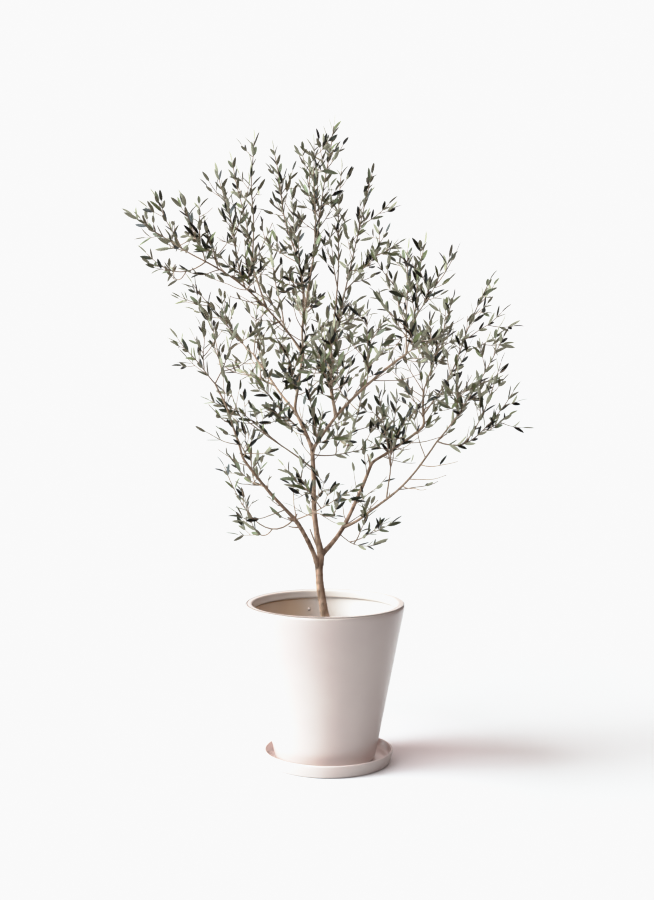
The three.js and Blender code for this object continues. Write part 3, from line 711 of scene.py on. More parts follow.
SPRAYS = [
    ("low_left_whip", "left_foot", 1, 52, 0.5, 1, [[170, -170, 37], [95, 161, 44]]),
    ("low_left_tuft", "left_bough", 0.55, 8, 0.35, 1, [[95, 148, 30], [90, 103, 43]]),
    ("low_mid_spray", "left_foot", 0.97, 4, 0.45, 0, [[155, -33, 27], [70, -41, -4], [105, -134, 49]]),
    ("left_fan", "left_bough", 1, 4, 0.3, 1, [[100, -72, 31], [90, -122, 54]]),
    ("left_tip", "left_rise", 1, 2, 0.1, 1, [[120, -154, 49], [90, -84, 73]]),
    ("left_inner", "left_rise", 1, 6, 0.25, 1, [[120, 59, 56], [125, 116, 61]]),
    ("cross_left", "trunk", 0.91, -8, 0.62, 1, [[235, -168, 34], [165, -130, 29]]),
    ("cross_left_rise", "leader_low", 0.3, 3, 0.35, 1, [[205, -122, 34], [165, -106, 13]]),
    ("mid_left_rise", "mid_left_bough", 1, 0, 0.25, 1, [[115, 78, 74], [90, 47, 1]]),
    ("mid_left_out", "mid_left_bough", 1, 6, 0.3, 1, [[135, 141, 45], [160, -167, 50]]),
    ("mid_left_back", "mid_left_bough", 0.5, 4, 0.35, 1, [[180, 121, 12], [150, 92, 35]]),
    ("far_left_low", "upper_left_bough", 1, 22, 0.35, 0, [[120, -166, 7], [60, 154, 0]]),
    ("far_left", "upper_left_bough", 1, 4, 0.3, 1, [[165, 172, 32], [115, -144, 59]]),
    ("upper_left_fan", "upper_left_bough", 1, 4, 0.1, 1, [[130, -128, 61], [115, 96, 51], [110, 105, 8]]),
    ("upper_left_knot", "upper_left_bough", 0.8, 2, 0.25, 1, [[100, 136, 41], [135, -97, 27]]),
    ("upper_left_rise", "upper_left_bough", 0.62, 3, 0.35, 1, [[215, 155, 75], [105, -103, 59]]),
    ("upper_left_crest", "upper_left_bough", 0.42, 6, 0.4, 1, [[275, 140, 73], [235, 88, 78]]),
    ("upper_left_front", "upper_left_bough", 0.6, 4, 0.3, 1, [[155, -84, 15], [110, -106, 18]]),
    ("upper_left_back", "leader_mid", 0.95, 4, 0.35, 1, [[245, 133, 48], [210, 103, 50]]),
    ("crest_left", "leader_top", 1, 4, 0.4, 1, [[300, 133, 73], [150, 99, 59]]),
    ("crest", "leader_top", 1, 4, 0.35, 2, [[325, 6, 81], [195, -92, 76], [130, 156, 76]]),
    ("crest_right", "centre_rise", 1, 4, 0.45, 1, [[310, -4, 87], [120, -149, 80]]),
    ("right_crest", "centre_rise", 1, 8, 0.35, 1, [[315, 15, 76], [160, 36, 49], [70, -34, 16]]),
    ("crest_front", "leader_top", 0.8, 3, 0.3, 1, [[190, -93, 48], [125, -105, 16]]),
    ("crest_inner", "leader_top", 0.4, 3, 0.25, 0, [[155, 76, 59], [120, 101, 21], [105, -74, 12]]),
    ("heart_front", "centre_right_bough", 0.3, 4, 0.2, 2, [[215, -95, 41], [160, -102, 29]]),
    ("heart_left", "leader_mid", 0.4, 4, 0.2, 0, [[170, -97, 27], [115, -85, -5], [145, -75, 37]]),
    ("heart_right", "centre_right_bough", 0.6, 4, 0.2, 0, [[110, -80, 62], [130, 92, 76], [85, 45, 43]]),
    ("heart_back", "centre_rise", 0.6, 4, 0.2, 1, [[195, 96, 24], [195, 79, 32]]),
    ("heart_top", "centre_rise", 1, 2, 0.15, 1, [[125, -69, 46], [95, 57, 17]]),
    ("heart_low", "trunk", 0.97, 2, 0.25, 0, [[145, -78, 43], [85, -58, 14], [115, -113, 68]]),
    ("leader_tuft", "trunk", 0.8, 2, 0.25, 1, [[95, -68, 42], [95, -136, 35]]),
    ("right_head", "centre_right_bough", 1, 6, 0.2, 2, [[190, 81, 84], [105, 128, 64]]),
    ("right_head_mid", "centre_right_bough", 1, 6, 0.2, 2, [[200, -44, 78], [120, -46, 54]]),
    ("right_head_low", "centre_right_bough", 1, 6, 0.12, 0, [[90, -29, 50], [110, -103, 31], [70, 82, 11]]),
    ("right_fan", "right_rise", 1, 6, 0.2, 2, [[190, -20, 72], [100, 76, 39], [105, 114, -7]]),
    ("right_fan_out", "right_rise", 0.3, 14, 0.3, 1, [[285, -23, 63], [100, -28, 56]]),
    ("right_edge", "low_right_bough", 1, 12, 0.2, 1, [[225, 9, 57], [85, -96, 58], [70, 129, 35]]),
    ("right_tail", "low_right_bough", 1, 34, 0.1, 1, [[170, 0, 33], [175, -37, 62]]),
    ("low_right_rise", "low_right_bough", 0.5, 0, 0.45, 0,
     [[200, -72, 75], [170, -107, 58], [135, -75, 39]]),
    ("low_right_tuft", "right_bough", 0.34, 8, 0.3, 0, [[85, -15, -18], [105, -38, 29], [120, -62, 51]]),
    ("cross_right", "trunk", 0.98, 10, 0.25, 0, [[160, 25, 7], [105, 82, 54], [165, 71, 43]]),
]
print(len(LIMBS), "limbs and", len(SPRAYS), "sprays")

# %% [markdown]
# Lines and dice
#
# Limbs, shoots and twigs are all lines with knots, and all ask the same few
# things of them: where is the point at this share, and which way does it head
# there? The dice is a plain counter, so the tree grows alike in any program.

# %% Lines, directions and seeded dice
UP = np.array([0.0, 0.0, 1.0])


class Dice:
    """A plain counter that always deals the same numbers from one seed."""

    def __init__(self, seed):
        self.state = seed

    def roll(self):
        """The next number from 0 to 1."""
        self.state = self.state * 16807 % 2147483647
        return (self.state - 1) / 2147483646


class Line:
    """Straight stretches from knot to knot, each with an even share of the way."""

    def __init__(self, knots):
        self.knots = np.asarray(knots, float)
        self.steps = len(self.knots) - 1
        self.length = float(np.linalg.norm(np.diff(self.knots, axis=0), axis=1).sum())

    def point(self, share):
        """The point at that share of the way."""
        x = min(max(share, 0), 1) * self.steps
        k = min(int(x), self.steps - 1)
        return self.knots[k] + (self.knots[k + 1] - self.knots[k]) * (x - k)

    def heading(self, share):
        """The direction of the stretch there."""
        k = min(int(min(max(share, 0), 1) * self.steps), self.steps - 1)
        return unit(self.knots[k + 1] - self.knots[k])


def bowed(start, tip, sag, swing, steps, wander=0.0, seed=1):
    """A straight line, plus a parabola that stands off it by the sag and the swing
    at mid-length, plus two slow seeded waves that vanish at both ends."""
    t = np.linspace(0, 1, steps + 1)[:, None]
    side = unit(np.array([start[1] - tip[1], tip[0] - start[0], 0.0]))
    line = start + (tip - start) * t + 4 * t * (1 - t) * (side * swing - UP * sag)
    if wander:
        dice = np.random.default_rng(seed)
        for turns in (1.5, 2.7):
            push = dice.normal(0, wander / turns, 3)
            line = line + push * np.sin(np.pi * t) * np.sin(turns * np.pi * t + dice.uniform(0, 6))
    return Line(line)


def reached(start, reach, bearing, rise):
    """The point that far away along a bearing and a rise in degrees."""
    b, e = math.radians(bearing), math.radians(rise)
    way = np.array([math.cos(e) * math.cos(b), math.cos(e) * math.sin(b), math.sin(e)])
    return start + reach * way


def across(way):
    """Two directions square to a heading."""
    flat = UP if abs(way[2]) < 0.95 else np.array([1.0, 0.0, 0.0])
    side = unit(np.cross(way, flat))
    return side, np.cross(side, way)


def leaning(way, angle, out, lift):
    """The heading tipped outwards by an angle, and lifted a little towards the light."""
    return unit(way * math.cos(angle) + out * math.sin(angle) + UP * lift)


dice = Dice(7001)
print("the first rolls from 7001:", [round(dice.roll(), 3) for _ in range(3)])

# %% [markdown]
# Limbs
#
# Each limb is a bowed line. Where one limb goes on from the tip of another, the
# two are one bough on the real tree, so their lines are chained, evened out to
# small steps and smoothed, and the radius tapers along the whole chain.

# %% Lines of the limbs, chained into boughs
LIMB_STEPS = 14
LIMB_WANDER = 0.011
SMOOTH_STEP = 2.2
SMOOTH_PASSES = 14
trunk_knots = np.array(TRUNK, float)
lines = {"trunk": Line(trunk_knots[:, :3])}
radii = {"trunk": trunk_knots[:, 3]}
chains = {"trunk": ["trunk"]}
for order, (name, parent, at, length, bearing, rise, sag, swing, thick, thin) in enumerate(LIMBS):
    start = lines[parent].point(at)
    tip = reached(start, length, bearing, rise)
    lines[name] = bowed(start, tip, sag, swing, LIMB_STEPS, LIMB_WANDER * length, 400 + order)
    radii[name] = np.linspace(thick, thin, LIMB_STEPS + 1)
    head = next((h for h, row in chains.items() if at == 1 and row[-1] == parent), None)
    if head:
        chains[head].append(name)
    else:
        chains[name] = [name]


def evened(knots, values, step, passes):
    """The same way and values at even steps, smoothed by passes of a 1-2-1 mean."""
    far = np.concatenate([[0], np.cumsum(np.linalg.norm(np.diff(knots, axis=0), axis=1))])
    count = max(4, int(round(far[-1] / step)))
    at = np.linspace(0, far[-1], count + 1)
    data = np.stack([np.interp(at, far, c) for c in (*knots.T, values)], 1)
    for _ in range(passes):
        data[1:-1] = 0.25 * data[:-2] + 0.5 * data[1:-1] + 0.25 * data[2:]
    return data[:, :3], data[:, 3], at


boughs = {}
for head, row in chains.items():
    knots = np.vstack([lines[row[0]].knots[:1], *[lines[n].knots[1:] for n in row]])
    sizes = np.concatenate([radii[row[0]][:1], *[radii[n][1:] for n in row]])
    boughs[head] = evened(knots, sizes, SMOOTH_STEP, SMOOTH_PASSES)
print("boughs:", {head: row for head, row in chains.items() if len(row) > 1})

# %% [markdown]
# Trunk and boughs
#
# Olive wood this young has a smooth, fawn bark with shallow ripples, small dark
# knots where twigs were, and a collar where a bough leaves the stem. Each bough
# is a tube round its line whose radius takes all of these in, so the relief is
# real shape and not only paint. The knots also darken the bark, the crotches take
# painted shade, and a number at each point tells the finish where.


# %% Tubes with relief
FOOT_CAP = 0.5
TIP_CAP = 0.8
RIPPLE = 0.08
RING_EVERY = 13.0
RING_HIGH = 0.045


def sweep_frames(path):
    """Headings along paths, and two directions square to each that turn as little
    as they can from one point to the next."""
    way = unit(np.gradient(path, axis=1))
    flat = np.where(np.abs(way[:, :1, 2:]) < 0.95, UP, [1.0, 0.0, 0.0])
    side = np.empty_like(way)
    side[:, 0] = unit(np.cross(way[:, 0], flat[:, 0]))
    for k in range(1, path.shape[1]):
        before = side[:, k - 1]
        side[:, k] = unit(before - (before * way[:, k]).sum(-1, keepdims=True) * way[:, k])
    return way, side, np.cross(way, side)


def tubes(path, radius, sides):
    """Closed tubes round many paths at once. A point is the path's own point plus
    the radius there times cosine and sine along the two square directions, and
    each end closes to one point beyond it."""
    count, rows = path.shape[:2]
    way, side, over = sweep_frames(path)
    a = np.linspace(0, 2 * np.pi, sides, endpoint=False)[:, None]
    out = side[:, :, None] * np.cos(a) + over[:, :, None] * np.sin(a)
    reach = radius if radius.ndim == 3 else np.repeat(radius[:, :, None], sides, 2)
    ring = (path[:, :, None] + out * reach[..., None]).reshape(count, -1, 3)
    first = path[:, :1] - way[:, :1] * reach[:, :1].mean(-1)[..., None] * FOOT_CAP
    last = path[:, -1:] + way[:, -1:] * reach[:, -1:].mean(-1)[..., None] * TIP_CAP
    points = np.concatenate([ring, first, last], 1)
    quads, fans = ring_faces(rows, sides)
    lift = (np.arange(count) * points.shape[1])[:, None, None]
    return points.reshape(-1, 3), (quads + lift).reshape(-1, 4), (fans + lift).reshape(-1, 3)


def bark_relief(radius, far, sides, seed, knots):
    """The radius over a grid of length and angle, and how dark the bark is there.
    Sine waves that close round the limb ripple it, low rings cross it, and each
    knot is a smooth bump (along, angle, height, size)."""
    dice = np.random.default_rng(seed)
    a = np.linspace(0, 2 * np.pi, sides, endpoint=False)[None, :]
    s = far[:, None]
    ripple = np.zeros((len(far), sides))
    for lobes in (1, 2, 2, 3, 4, 5):
        length = dice.uniform(16, 70) * (1.4 if lobes < 3 else 0.8)
        phase = dice.uniform(0, 2 * np.pi)
        wave = np.sin(lobes * a + 2 * np.pi * s / length + phase)
        ripple += wave * dice.uniform(0.2, 1) / (lobes + 1)
    rings = np.zeros_like(ripple)
    for middle in np.arange(dice.uniform(4, 12), far[-1], RING_EVERY) + dice.uniform(-3, 3):
        rings += RING_HIGH * np.exp(-((s - middle) / 1.3) ** 2) * dice.uniform(0.3, 1.2)
    reach = radius[:, None] * (1 + RIPPLE * ripple + rings)
    dark = 0.4 * rings / RING_HIGH
    for along, angle, height, size in knots:
        turn = np.angle(np.exp(1j * (a - angle))) * radius[:, None]
        bump = np.exp(-((s - along) ** 2 + turn ** 2) / size ** 2)
        reach = reach + height * bump
        dark = np.maximum(dark, np.minimum(1.0, 1.25 * bump))
    return reach, np.clip(dark, 0, 1)


print("longest bough:", round(max(far[-1] for _, _, far in boughs.values())), "mm")

# %% Boughs with their knots
KNOT_EVERY = 22.0
THICK_LIMB = 5
THICK_SIDES = 28
THIN_SIDES = 16
TRUNK_AT_FORKS = 5.5
YOUNG_FROM = (3.4, 1.5)


def smoothstep(low, high, x):
    """A share that rises from 0 at low to 1 at high, flat at both ends."""
    t = np.clip((x - low) / (high - low), 0, 1)
    return t * t * (3 - 2 * t)


def collar(head, radius, far):
    """How much a bough swells where it leaves its parent, and how much painted shade
    darkens the crotch. Both fade with the distance, at a pace set by the parent's radius."""
    if head == "trunk":
        return np.zeros(len(far)), np.zeros(len(far))
    parent = next(row[1] for row in LIMBS if row[0] == head)
    parent_radius = TRUNK_AT_FORKS if parent == "trunk" else float(np.max(radii[parent]))
    swell = 0.55 * np.exp(-far / (1.6 * parent_radius)) * radius[0]
    return swell, np.exp(-(far / (2.2 * parent_radius)) ** 2)


wood_parts, wood_dark_and_shade, wood_young = [], [], []
for order, (head, (path, radius, far)) in enumerate(boughs.items()):
    dice = np.random.default_rng(60 + order)
    sides = THICK_SIDES if radius.max() > THICK_LIMB else THIN_SIDES
    swell, crotch = collar(head, radius, far)
    middle_radius = radius[-1] + 0.5 * (radius[0] - radius[-1])
    knots = [
        (dice.uniform(0.02, 0.98) * far[-1], dice.uniform(0, 2 * np.pi),
         middle_radius * dice.uniform(0.1, 0.3), dice.uniform(0.9, 2.4))
        for _ in range(max(1, int(far[-1] / KNOT_EVERY)))
    ]
    reach, dark = bark_relief(radius + swell, far, sides, 80 + order, knots)
    wood_parts.append(tubes(path[None], reach[None], sides))
    # painted shade in the crotch, added to the dark of the knots and rings
    dark = np.clip(dark + 0.75 * crotch[:, None], 0, 1)
    wood_dark_and_shade.append(np.concatenate([dark.ravel(), [0, 0]]))
    young = smoothstep(*YOUNG_FROM, np.repeat(radius, sides))
    wood_young.append(np.concatenate([young, [young[0], young[-1]]]))
print("boughs with relief:", len(wood_parts))

# %% [markdown]
# Stubs
#
# Old wood keeps short dead ends where twigs broke off, and a shoot or two that
# never grew on. Each is a small bowed tube, wide at its foot, darkened by painted
# shade at its foot and dark with dead wood at its tip. A row gives the limb, the
# share of the way along it, the bearing, the rise, the length and the radius.

# %% Dead ends on the old wood
STUBS = [
    ("trunk", 0.56, 176, 66, 46, 1.7), ("trunk", 0.64, -150, 35, 7, 1.2),
    ("left_foot", 0.8, -165, 6, 20, 1.2), ("left_foot", 0.96, -170, 20, 14, 2.2),
    ("left_foot", 1.0, 20, 60, 9, 1.6), ("left_bough", 0.5, 110, 70, 8, 1.3),
    ("right_bough", 0.97, 120, 65, 22, 1.6), ("right_bough", 0.62, 100, 40, 8, 1.2),
    ("right_arm", 0.55, 80, 70, 9, 1.1), ("low_right_bough", 0.52, -20, 75, 9, 0.9),
    ("trunk", 0.98, 110, 55, 16, 1.6), ("leader_low", 0.55, 20, 50, 12, 1.1),
    ("leader_mid", 0.5, -170, 45, 10, 0.9), ("trunk", 0.84, -60, 50, 8, 1.2),
    ("centre_right_bough", 0.5, 70, 70, 9, 0.9),
]
# painted shade at the foot of each stub, and dark dead wood at its tip
STUB_DARK_AND_SHADE = [0.5, 0.3, 0.1, 0, 0, 0, 0, 0.1, 0.3, 0.6]
STUB_ENDS_DARK_AND_SHADE = [0.5, 0.8]
STUB_SIDES = 10
STUB_YOUNG = 0.4
rings = len(STUB_DARK_AND_SHADE)
for name, share, bearing, rise, length, thick in STUBS:
    start = lines[name].point(share)
    path = bowed(start, reached(start, length, bearing, rise), 0.06 * length, 0, rings - 1).knots
    taper = thick * (1 - 0.45 * np.linspace(0, 1, rings) ** 1.5)
    foot = 0.6 * thick * np.exp(-np.linspace(0, length, rings) / 3)
    wood_parts.append(tubes(path[None], (taper + foot)[None], STUB_SIDES))
    wood_dark_and_shade.append(np.repeat(STUB_DARK_AND_SHADE, STUB_SIDES).tolist() + STUB_ENDS_DARK_AND_SHADE)
    wood_young.append(np.full(len(wood_parts[-1][0]), STUB_YOUNG))
print("stubs:", len(STUBS))

# %% [markdown]
# The bark
#
# The bark is a matt fawn, greyer on young wood, dark at knots and rings, and
# darkened by painted shade in crotches and at the feet of stubs. Those two changes
# follow the shape, so they come as numbers stored at the points, and each turns
# the colour towards another by its share.


# %% The wood as one piece
def joined(parts):
    """Parts of points, quads and triangles as one. The corners of each part count
    on from the points of the parts before it."""
    points, quads, fans = zip(*parts)
    lifts = np.cumsum([0, *[len(p) for p in points[:-1]]])
    faces = [np.vstack([f + lift for f, lift in zip(kind, lifts)]) for kind in (quads, fans)]
    return np.vstack(points), faces


def store(piece, name, values):
    """One number for each point of the piece, kept with it for its finish to read."""
    layer = piece.data.attributes.new(name, "FLOAT", "POINT")
    layer.data.foreach_set("value", np.asarray(values, np.float32))


def tinted(finish, attribute, colour, strength):
    """Turns the colour of a finish towards another by an attribute's share."""
    tree = finish.node_tree
    number = add_node(tree, "ShaderNodeAttribute", attribute_name=attribute).outputs["Fac"]
    share = add_node(tree, "ShaderNodeMath", {0: number, 1: strength}, operation="MULTIPLY")
    repaint(finish, colour_mix(tree, share.outputs[0], colour_so_far(finish), paint(colour)))


BARK = new_finish("olive_bark", "caa992", "866954", {"Roughness": 0.78},
                  drift=150, relief=420, depth=0.35, stretch=(1, 1, 0.35))
tinted(BARK, "young", "a58c76", 0.7)
# dark knots and rings, with painted shade at crotches and stub feet
tinted(BARK, "knot_dark_and_shade", "4d3d31", 0.75)
points, faces = joined(wood_parts)
wood = make_piece("wood", points, faces, [BARK], replaces=["trunk", *[row[0] for row in LIMBS]])
store(wood, "knot_dark_and_shade", np.concatenate(wood_dark_and_shade))
store(wood, "young", np.concatenate(wood_young))

# %% [markdown]
# Shoots
#
# A spray is what hangs on one stem: a leading shoot that goes on from its limb,
# and one or two more that fork from it. They are bowed lines to the tips that the
# table gives, less the room that the last leaf takes.

# %% The shoots of every spray
LEAF_ROOM = 24.7
FORK_FIRST = 0.2
FORK_STEP = 0.12
SHOOT_STEPS = 12
SHOOT_WANDER = 0.014
# how much wider than usual the twigs of these sprays stand apart
OPENNESS = {
    2.0: {"low_left_whip", "upper_left_rise", "left_inner", "upper_left_crest", "left_tip",
          "cross_left", "mid_left_back"},
    1.45: {"crest", "crest_left", "crest_right", "crest_front", "upper_left_back",
           "upper_left_fan", "cross_left_rise", "low_left_tuft", "right_crest", "left_fan",
           "right_tail", "far_left", "mid_left_out"},
    0.8: {"right_fan", "heart_right", "heart_top", "right_head_low", "right_head_mid",
          "low_right_tuft"},
}
sprays = []
for index, (name, limb, at, sag, bare, count, shoots) in enumerate(SPRAYS):
    root = lines[limb].point(at)
    leads = []
    for k, (reach, bearing, rise) in enumerate(shoots):
        start = root if k == 0 else leads[0].point(FORK_FIRST + FORK_STEP * k)
        tip = reached(start, reach - LEAF_ROOM, bearing, rise)
        drop = sag if k == 0 else 0.6 * sag
        seed = 900 + 10 * index + k
        leads.append(bowed(start, tip, drop, 0, SHOOT_STEPS, SHOOT_WANDER * reach, seed))
    sprays.append({
        "index": index, "name": name, "root": root, "leads": leads, "bare": bare, "count": count,
        "far": max(float(np.linalg.norm(line.knots[-1] - root)) for line in leads),
        "low": min(float(line.knots[:, 2].min()) for line in leads),
        "step": next((step for step, names in OPENNESS.items() if name in names), 1.0),
    })
print("shoots:", sum(len(s["leads"]) for s in sprays))

# %% [markdown]
# Whose space is it
#
# Twigs and leaves of different sprays mustn't run through each other, as each
# spray stands for a solid of its own. A point belongs to the spray whose stems
# are nearest, and nothing may touch a limb. Both questions come down to
# distances between points and straight stretches.

# %% Distances to stems and limbs
stem_a = np.vstack([line.knots[:-1] for s in sprays for line in s["leads"]])
stem_b = np.vstack([line.knots[1:] for s in sprays for line in s["leads"]])
stem_owner = np.concatenate([[s["index"]] * line.steps for s in sprays for line in s["leads"]])
limb_a = np.vstack([line.knots[:-1] for line in lines.values()])
limb_b = np.vstack([line.knots[1:] for line in lines.values()])
limb_radius = np.concatenate([radii[name][:-1] for name in lines])


def gaps(points, a, b):
    """Distances from each point to each straight stretch from a to b."""
    along = b - a
    rest = points[:, None] - a[None]
    t = np.clip((rest * along).sum(-1) / (along * along).sum(-1), 0, 1)[..., None]
    return np.linalg.norm(rest - along * t, axis=-1)


def own_space(index, points, margin):
    """True where the points are nearer this spray's stems than any other's."""
    distance = gaps(np.asarray(points), stem_a, stem_b)
    mine = distance[:, stem_owner == index].min(1)
    other = distance[:, stem_owner != index].min(1)
    return bool(np.all(other > mine + margin))


def clear_of_limbs(a, b, margin):
    """True where the stretch from a to b stays off every limb."""
    points = a + (b - a) * np.linspace(0, 1, 7)[:, None]
    return bool((gaps(points, limb_a, limb_b) - limb_radius).min() > margin)


print("stem stretches:", len(stem_a), "limb stretches:", len(limb_a))

# %% [markdown]
# Twigs
#
# Every spray grows by the source's rule. Its side twigs turn by the golden angle
# from one to the next, and a twig that would leave the spray's own space, or
# touch a limb, is tried shorter and then left out. A second pass adds finer twigs
# in the roomiest directions, and a third gives the longest twigs one of their own.

# %% Twigs that fit
SHORTER = 0.72
TWIG_CLEAR = 1.5
TWIG_HANGS = 6
LIFT_OF_SIDE = 0.15
LIFT_OF_FINE = 0.2
WAYS_TRIED = 4


def choose_way(line, share, angles, span, dice, tips):
    """Four seeded headings off the line, and of those the one whose twig would end
    farthest from every other tip."""
    way = line.heading(share)
    side, over = across(way)
    ways = []
    for _ in range(WAYS_TRIED):
        angle = math.radians(angles[0] + (angles[1] - angles[0]) * dice.roll())
        turn = 2 * math.pi * dice.roll()
        ways.append(leaning(way, angle, side * math.cos(turn) + over * math.sin(turn), LIFT_OF_FINE))
    ends = line.point(share) + np.array(ways) * span
    room = np.linalg.norm(ends[:, None] - np.array(tips)[None], axis=-1).min(1)
    return ways[int(room.argmax())]


def fits(spray, base, run):
    """True where a twig stays within the spray's reach and space and off the limbs.
    The run is the way from its base to its tip."""
    tip = base + run
    if np.linalg.norm(tip - spray["root"]) >= spray["far"] or tip[2] <= spray["low"] - TWIG_HANGS:
        return False
    if not own_space(spray["index"], [base + run * 0.5, tip], 2):
        return False
    return clear_of_limbs(base + run * 0.2, tip, TWIG_CLEAR)


def try_twig(spray, base, way, span, tries, steps, seed):
    """A twig of that span, or shorter ones if it doesn't fit, or none."""
    for _ in range(tries):
        if fits(spray, base, way * span):
            return bowed(base, base + way * span, 0.05 * span, 0, steps, 0.02 * span, seed)
        span *= SHORTER
    return None


print("a twig that doesn't fit is tried", SHORTER, "times as long")

# %% Three passes of twigs
TURN = 137.5
TWIG_STEP = 25.0
SIDE_TOP = 0.86
SIDE_SPANS = (30, 80)
FINE_TOP = 0.92
FINE_ANGLES = (28, 58)
LONG_TWIG = 34
LAST_ANGLES = (34, 56)


def tips_of(twigs):
    """The end points of the twigs."""
    return [line.knots[-1] for line, _, _ in twigs]


def side_twigs(spray, twigs):
    """Evenly spaced twigs along each shoot, each the golden angle on from the last."""
    dice = Dice(7001 + 613 * spray["index"])
    turn = 360 * dice.roll()
    for k, line in enumerate(spray["leads"]):
        low = spray["bare"] if k == 0 else 0.2
        for j in range(spray["count"]):
            share = low + (SIDE_TOP - low) * (j + 0.3 + 0.4 * dice.roll()) / spray["count"]
            angle = math.radians(34 + 16 * dice.roll())
            size = 0.8 + 0.4 * dice.roll()
            turn += TURN
            way = line.heading(share)
            side, over = across(way)
            out = side * math.cos(math.radians(turn)) + over * math.sin(math.radians(turn))
            span = 0.42 * line.length * (1 - 0.45 * share) * size
            span = min(max(span, SIDE_SPANS[0]), SIDE_SPANS[1])
            grown = leaning(way, angle, out, LIFT_OF_SIDE)
            seed = 3000 + 50 * spray["index"] + 7 * k + j
            made = try_twig(spray, line.point(share), grown, span, 3, 6, seed)
            if made:
                twigs.append((made, 0.3, False))


def fine_twigs(spray, twigs, hang, dice):
    """Finer twigs at seeded places along each shoot, where there is most room."""
    for k, line in enumerate(spray["leads"]):
        low = (0.55 * spray["bare"] if k == 0 else 0.12) + 2 * hang
        count = max(2, int(line.length * (1 - low) / (TWIG_STEP * spray["step"])))
        for j in range(count):
            share = low + (FINE_TOP - low) * (j + dice.roll()) / count
            span = (28 + 60 * dice.roll()) * (1 - 0.35 * share)
            grown = choose_way(line, share, FINE_ANGLES, span, dice, tips_of(twigs))
            seed = 5000 + 50 * spray["index"] + 7 * k + j
            made = try_twig(spray, line.point(share), grown, span, 3, 6, seed)
            if made:
                twigs.append((made, 0.2 + 0.4 * dice.roll(), False))


def last_twigs(spray, twigs, dice):
    """One more twig on every long one."""
    for line in [line for line, _, lead in twigs if not lead and line.length > LONG_TWIG]:
        share = 0.3 + 0.4 * dice.roll()
        span = line.length * (0.4 + 0.3 * dice.roll())
        grown = choose_way(line, share, LAST_ANGLES, span, dice, tips_of(twigs))
        made = try_twig(spray, line.point(share), grown, span, 2, 5, 9000)
        if made:
            twigs.append((made, 0.3, False))


for spray in sprays:
    # a spray that hangs below its root stays bare a little farther
    hang = 0.15 if spray["low"] < spray["root"][2] - 12 else 0.0
    bare = [(spray["bare"] if k == 0 else 0.15) + hang for k in range(len(spray["leads"]))]
    twigs = [(line, low, True) for line, low in zip(spray["leads"], bare)]
    side_twigs(spray, twigs)
    fine = Dice(50021 + 271 * spray["index"])
    fine_twigs(spray, twigs, hang, fine)
    last_twigs(spray, twigs, fine)
    spray["twigs"] = twigs
print("twigs:", sum(len(s["twigs"]) for s in sprays))

# %% [markdown]
# Fringe
#
# The boughs carry small twigs of their own between the sprays, which close the
# crown where it would look bare and leave the sky open elsewhere. Each row names
# a limb, the stretch of it that bears them, and how many.

# %% Small twigs straight from the limbs
FRINGE = [
    ("trunk", 0.7, 1.0, 7), ("left_foot", 0.85, 1.0, 2), ("left_bough", 0.1, 0.9, 6),
    ("left_rise", 0.2, 0.9, 4), ("right_bough", 0.35, 1.0, 6), ("right_arm", 0.1, 1.0, 9),
    ("right_rise", 0.0, 1.0, 12), ("low_right_bough", 0.55, 1.0, 6), ("leader_low", 0.2, 1.0, 5),
    ("leader_mid", 0.1, 1.0, 5), ("leader_top", 0.2, 1.0, 4), ("mid_left_bough", 0.3, 1.0, 5),
    ("upper_left_bough", 0.2, 1.0, 7), ("centre_right_bough", 0.15, 1.0, 10),
    ("centre_rise", 0.15, 1.0, 7),
]
FRINGE_ANGLES = (35, 70)
dice = Dice(40009)
tips = [tip for s in sprays for tip in tips_of(s["twigs"])]
added = 0
for name, low, high, count in FRINGE:
    line = lines[name]
    for j in range(count):
        share = low + (high - low) * (j + dice.roll()) / count
        span = 34 + 50 * dice.roll()
        bare = 0.3 + 0.3 * dice.roll()
        grown = choose_way(line, share, FRINGE_ANGLES, span, dice, tips)
        base = line.point(share)
        tip = base + grown * span
        if clear_of_limbs(base + grown * span * 0.3, tip, TWIG_CLEAR):
            host = int(stem_owner[gaps(tip[None], stem_a, stem_b)[0].argmin()])
            twig = bowed(base, tip, 0.06 * span, 0, 6, 0.03 * span, 9500 + added)
            sprays[host]["twigs"].append((twig, bare, False))
            tips.append(tip)
            added += 1
print("fringe twigs:", added)

# %% [markdown]
# Where the leaves stand
#
# Olive leaves stand in opposite pairs, each pair a quarter turn on from the last,
# and one leaf ends the twig. The upper face of a leaf looks towards the twig's
# tip. A leaf that would leave its spray's space or touch a limb is left out, and
# so is one that would stand in a crowd, as shaded leaves fall.

# %% Room for a leaf
LEAF_LONG = 22.0
LEAF_WIDE = 5.9
CROWD_WITHIN = 13
CROWD_MOST = 4
LEAF_CLEAR = 1.2
LEAF_HANGS = 13
middles = []


def try_leaf(spray, base, way, upper, size):
    """Adds the leaf to its spray where there is room for its middle, edges and tip."""
    middle = base + way * size * 0.5
    tip = base + way * size
    rim = unit(np.cross(way, upper)) * LEAF_WIDE * 0.5
    if tip[2] < spray["low"] - LEAF_HANGS:
        return
    if not own_space(spray["index"], [middle, tip, middle + rim, middle - rim], 0.5):
        return
    if not clear_of_limbs(base + way * size * 0.25, tip, LEAF_CLEAR):
        return
    others = np.reshape(middles, (-1, 3))
    if (np.linalg.norm(others - middle, axis=1) < CROWD_WITHIN).sum() >= CROWD_MOST:
        return
    middles.append(middle)
    spray["leaves"].append((base, way, upper, size))


print("a leaf is about", LEAF_LONG, "by", LEAF_WIDE, "mm")

